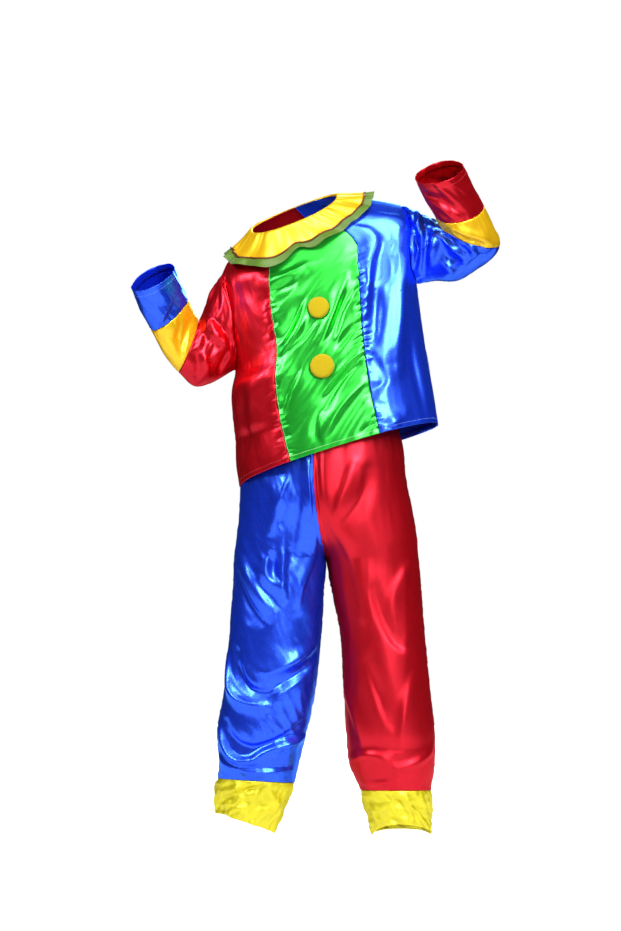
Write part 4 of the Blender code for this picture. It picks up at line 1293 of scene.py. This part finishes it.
class COSTUME_OT_collar(bpy.types.Operator):
    """Make the ruffled collar, its piping and its ribbon"""

    bl_idname = "costume.collar"
    bl_label = "Collar"

    def execute(self, context):
        colours = context.scene.costume_colours
        degrees = np.linspace(-180, 180, 361)
        distance, depth = edge_lines(RUFFLE_WIDTH, sizes().mesh_step / MM, NECK_TURN, RUFFLE_EDGE)
        turned = len(NECK_TURN)

        def folded(around, away):
            return gathers(around, away) - np.interp(away, distance[:turned], depth[:turned])

        points, around, away = ruffle_surface(degrees, distance, folded)
        item = cloth_object("collar_ruffle_cloth", points, around * COLLAR_ARC, away, -1, True,
                            sizes().cloth)
        dress(item, ["collar_ruffle"], satin_of("satin_yellow"))
        self.ribbon(colours)
        self.piping(degrees, colours)
        return {"FINISHED"}

    def ribbon(self, colours):
        """The sheer ribbon that is sewn to the ruffle's edge."""
        degrees, distance = np.linspace(-180, 180, 541), np.linspace(RUFFLE_WIDTH, RIBBON_EDGE, 9)
        points, around, away = ruffle_surface(degrees, distance, ribbon_waves)
        item = cloth_object("collar_ribbon_organza", points, around * COLLAR_ARC, away, -1, True,
                            RIBBON_WALL * MM)
        dress(item, ["collar_ribbon"], organza(tuple(colours.ribbon)))

    def piping(self, degrees, colours):
        """A round cord along the ruffle's edge."""
        inner, outer = [ruffle_surface(degrees, np.array([at]), gathers)[0][0]
                        for at in (RUFFLE_WIDTH - 1, RUFFLE_WIDTH + 4)]
        middle, outwards = (inner + outer) / 2, unit(outer - inner)
        ahead = np.roll(middle[:-1], -1, axis=0) - np.roll(middle[:-1], 1, axis=0)
        up = unit(np.cross(outwards, np.vstack([ahead, ahead[:1]])))
        turn = np.radians(np.linspace(0, 360, 13))
        points = (middle[:, None] + outwards[:, None] * PIPING_RADIUS * np.cos(turn)[:, None]
                  + up[:, None] * (PIPING_RADIUS * np.sin(turn) + LAP_SPACE)[:, None])
        across, along = np.meshgrid(turn * PIPING_RADIUS, degrees * COLLAR_ARC)
        mesh = mapped_grid(points, across, along, 1, True)
        bmesh.ops.recalc_face_normals(mesh, faces=mesh.faces)
        item = finished_object("collar_piping_cord", mesh)
        dress(item, ["collar_piping"], covered_cord(tuple(colours.piping)))


def on_panel(degrees, station, across, along):
    """Places on the green panel that lie so many millimetres across and along from a point."""
    here, there = np.array([degrees]), np.array([float(station)])
    x_step = (torso(here + 0.5, there) - torso(here - 0.5, there))[0]
    y_step = (torso(here, there + 0.5) - torso(here, there - 0.5))[0]
    side = unit(x_step)
    up = unit(y_step - side * np.dot(y_step, side))
    upwards = along / np.dot(y_step, up)
    around = degrees + (across - upwards * np.dot(y_step, side)) / np.linalg.norm(x_step)
    at = station + upwards
    foot = torso(around, at)
    return foot, lifted(torso, np.ones(around.shape), around, at) - foot


class COSTUME_OT_buttons(bpy.types.Operator):
    """Make both felt buttons on the middle panel"""

    bl_idname = "costume.buttons"
    bl_label = "Buttons"

    def execute(self, context):
        finish = felt(tuple(context.scene.costume_colours.felt))
        for name, degrees, station, radius, height in BUTTONS:
            mesh = bmesh.new()
            line = [mesh.verts.new((part * radius, 0, rise * height))
                    for part, rise in BUTTON_PROFILE]
            edges = [mesh.edges.new(pair) for pair in zip(line, line[1:])]
            bmesh.ops.spin(mesh, geom=line + edges, cent=(0, 0, 0), axis=(0, 0, 1),
                           angle=math.tau, steps=64, use_merge=True)
            bmesh.ops.remove_doubles(mesh, verts=mesh.verts, dist=1e-4)
            flat = np.array([vert.co for vert in mesh.verts])
            foot, normal = on_panel(degrees, station, flat[:, 0], flat[:, 1])
            dented = flat[:, 2] + 0.25 * soft_noise(flat[:, 0] / 9, flat[:, 1] / 9, BUTTON_SEED)
            lift = LAP_SPACE + np.maximum(dented, 0)
            for vert, place in zip(mesh.verts, (foot + normal * lift[:, None]) * MM):
                vert.co = place
            for face in mesh.faces:
                face.smooth = True
            bmesh.ops.recalc_face_normals(mesh, faces=mesh.faces)
            item = finished_object(name + "_felt", mesh)
            dress(item, [name], finish)
        return {"FINISHED"}


class COSTUME_OT_stitching(bpy.types.Operator):
    """Make the rows of stitches that show, along the hems and beside the front seam"""

    bl_idname = "costume.stitching"
    bl_label = "Stitching"

    def execute(self, context):
        part = np.linspace(0.004, 0.996, 160)
        for name, first_edge, last_edge, slot, *_ in TUNIC_CUTS:
            station = np.full(160, HEM_STITCHES)
            first, last = first_edge(station), last_edge(station)
            cut = tunic_cut(name, first_edge, last_edge)
            lines = [(cut, first + (last - first) * part, station)]
            if name == "tunic_front_green":
                up = np.linspace(HEM_STITCHES, NECK - 60, 160)
                lines.append((cut, right_seam(up) + 2.0 / TORSO_ARC, up))
            stitches(name + "_stitches", lines, slot)
        around = np.linspace(-88, 268, 200)
        for name, side, start, end, slot, *_ in SLEEVE_CUTS:
            if end in (RIGHT_WRIST, LEFT_WRIST):
                lines = [(sleeve_cut(side), around, np.full(200, end - HEM_STITCHES))]
                stitches(name + "_stitches", lines, slot)
        for name, side, *_ in CUFF_CUTS:
            lines = [(leg_cut(side), around, np.full(200, LEG_HEM[side] - HEM_STITCHES))]
            stitches(name + "_stitches", lines, "satin_lemon")
        return {"FINISHED"}


class COSTUME_OT_stage(bpy.types.Operator):
    """Make the floor, the lights and the camera"""

    bl_idname = "costume.stage"
    bl_label = "Stage"

    def execute(self, context):
        settings = context.scene.costume_stage
        mesh = bmesh.new()
        bmesh.ops.create_circle(mesh, cap_ends=True, segments=64, radius=FLOOR_RADIUS * MM)
        bmesh.ops.translate(mesh, verts=mesh.verts, vec=(0, 0, FLOOR * MM))
        floor = finished_object("floor", mesh)
        made, tree, shader = new_material(
            "matt_white_floor", Base_Color=(0.75, 0.75, 0.75, 1), Roughness=0.9,
            Emission_Color=(1, 1, 1, 1))
        # The floor glows for the camera alone, so it meets the white studio with no edge
        seen = add_node(tree, "ShaderNodeLightPath")
        glow = add_node(tree, "ShaderNodeMapRange", [("Value", seen, "Is Camera Ray")],
                        To_Min=0.0, To_Max=0.9)
        tree.links.new(glow.outputs["Result"], shader.inputs["Emission Strength"])
        floor.data.materials.append(made)
        for name, size, place in LIGHTS:
            data = bpy.data.lights.new(name + "_softbox", "AREA")
            data.energy = getattr(settings, name)
            data.shape = "RECTANGLE"
            data.size, data.size_y = size * 0.6, size * 1.4
            lamp = bpy.data.objects.new(name + "_softbox", data)
            lamp.location = place
            aim = Vector(LIGHTS_AIM) - lamp.location
            lamp.rotation_euler = aim.to_track_quat("-Z", "Y").to_euler()
            context.scene.collection.objects.link(lamp)
        world = bpy.data.worlds.new("studio")
        world.use_nodes = True
        tree = world.node_tree
        ray = add_node(tree, "ShaderNodeLightPath")
        strength = add_node(tree, "ShaderNodeMapRange", [("Value", ray, "Is Camera Ray")],
                            To_Min=settings.surround, To_Max=1.0)
        white = tree.nodes["Background"]
        white.inputs["Color"].default_value = (1, 1, 1, 1)
        tree.links.new(strength.outputs["Result"], white.inputs["Strength"])
        context.scene.world = world
        context.scene.view_settings.view_transform = "Standard"
        data = bpy.data.cameras.new("camera")
        data.lens = data.sensor_width * settings.distance / (FRAME_HEIGHT * MM)
        camera = bpy.data.objects.new("camera", data)
        camera.location = (CAMERA_X * MM, -settings.distance, CAMERA_Z * MM)
        camera.rotation_euler = (math.pi / 2, 0, 0)
        context.scene.collection.objects.link(camera)
        context.scene.camera = camera
        return {"FINISHED"}


class COSTUME_PT_panel(bpy.types.Panel):
    """Settings and buttons for the costume"""

    bl_idname = "COSTUME_PT_panel"
    bl_label = "Clown Costume"
    bl_space_type = "VIEW_3D"
    bl_region_type = "UI"
    bl_category = "Costume"

    def draw(self, context):
        scene = context.scene
        for group in (scene.costume_colours, scene.costume_sizes, scene.costume_stage):
            box = self.layout.box()
            for name in group.__annotations__:
                box.prop(group, name)
        for operator in OPERATORS:
            self.layout.operator(operator.bl_idname)


OPERATORS = (COSTUME_OT_tunic, COSTUME_OT_sleeves, COSTUME_OT_collar, COSTUME_OT_buttons,
             COSTUME_OT_trousers, COSTUME_OT_stitching, COSTUME_OT_stage)
CLASSES = (CostumeColours, CostumeSizes, StageSettings, *OPERATORS, COSTUME_PT_panel)


def register():
    for kind in CLASSES:
        bpy.utils.register_class(kind)
    bpy.types.Scene.costume_colours = bpy.props.PointerProperty(type=CostumeColours)
    bpy.types.Scene.costume_sizes = bpy.props.PointerProperty(type=CostumeSizes)
    bpy.types.Scene.costume_stage = bpy.props.PointerProperty(type=StageSettings)


def unregister():
    del bpy.types.Scene.costume_colours
    del bpy.types.Scene.costume_sizes
    del bpy.types.Scene.costume_stage
    for kind in reversed(CLASSES):
        bpy.utils.unregister_class(kind)


def main():
    register()
    bpy.ops.costume.stage()
    bpy.ops.costume.tunic()
    bpy.ops.costume.sleeves()
    bpy.ops.costume.collar()
    bpy.ops.costume.buttons()
    bpy.ops.costume.trousers()
    bpy.ops.costume.stitching()


if __name__ == "__main__":
    main()
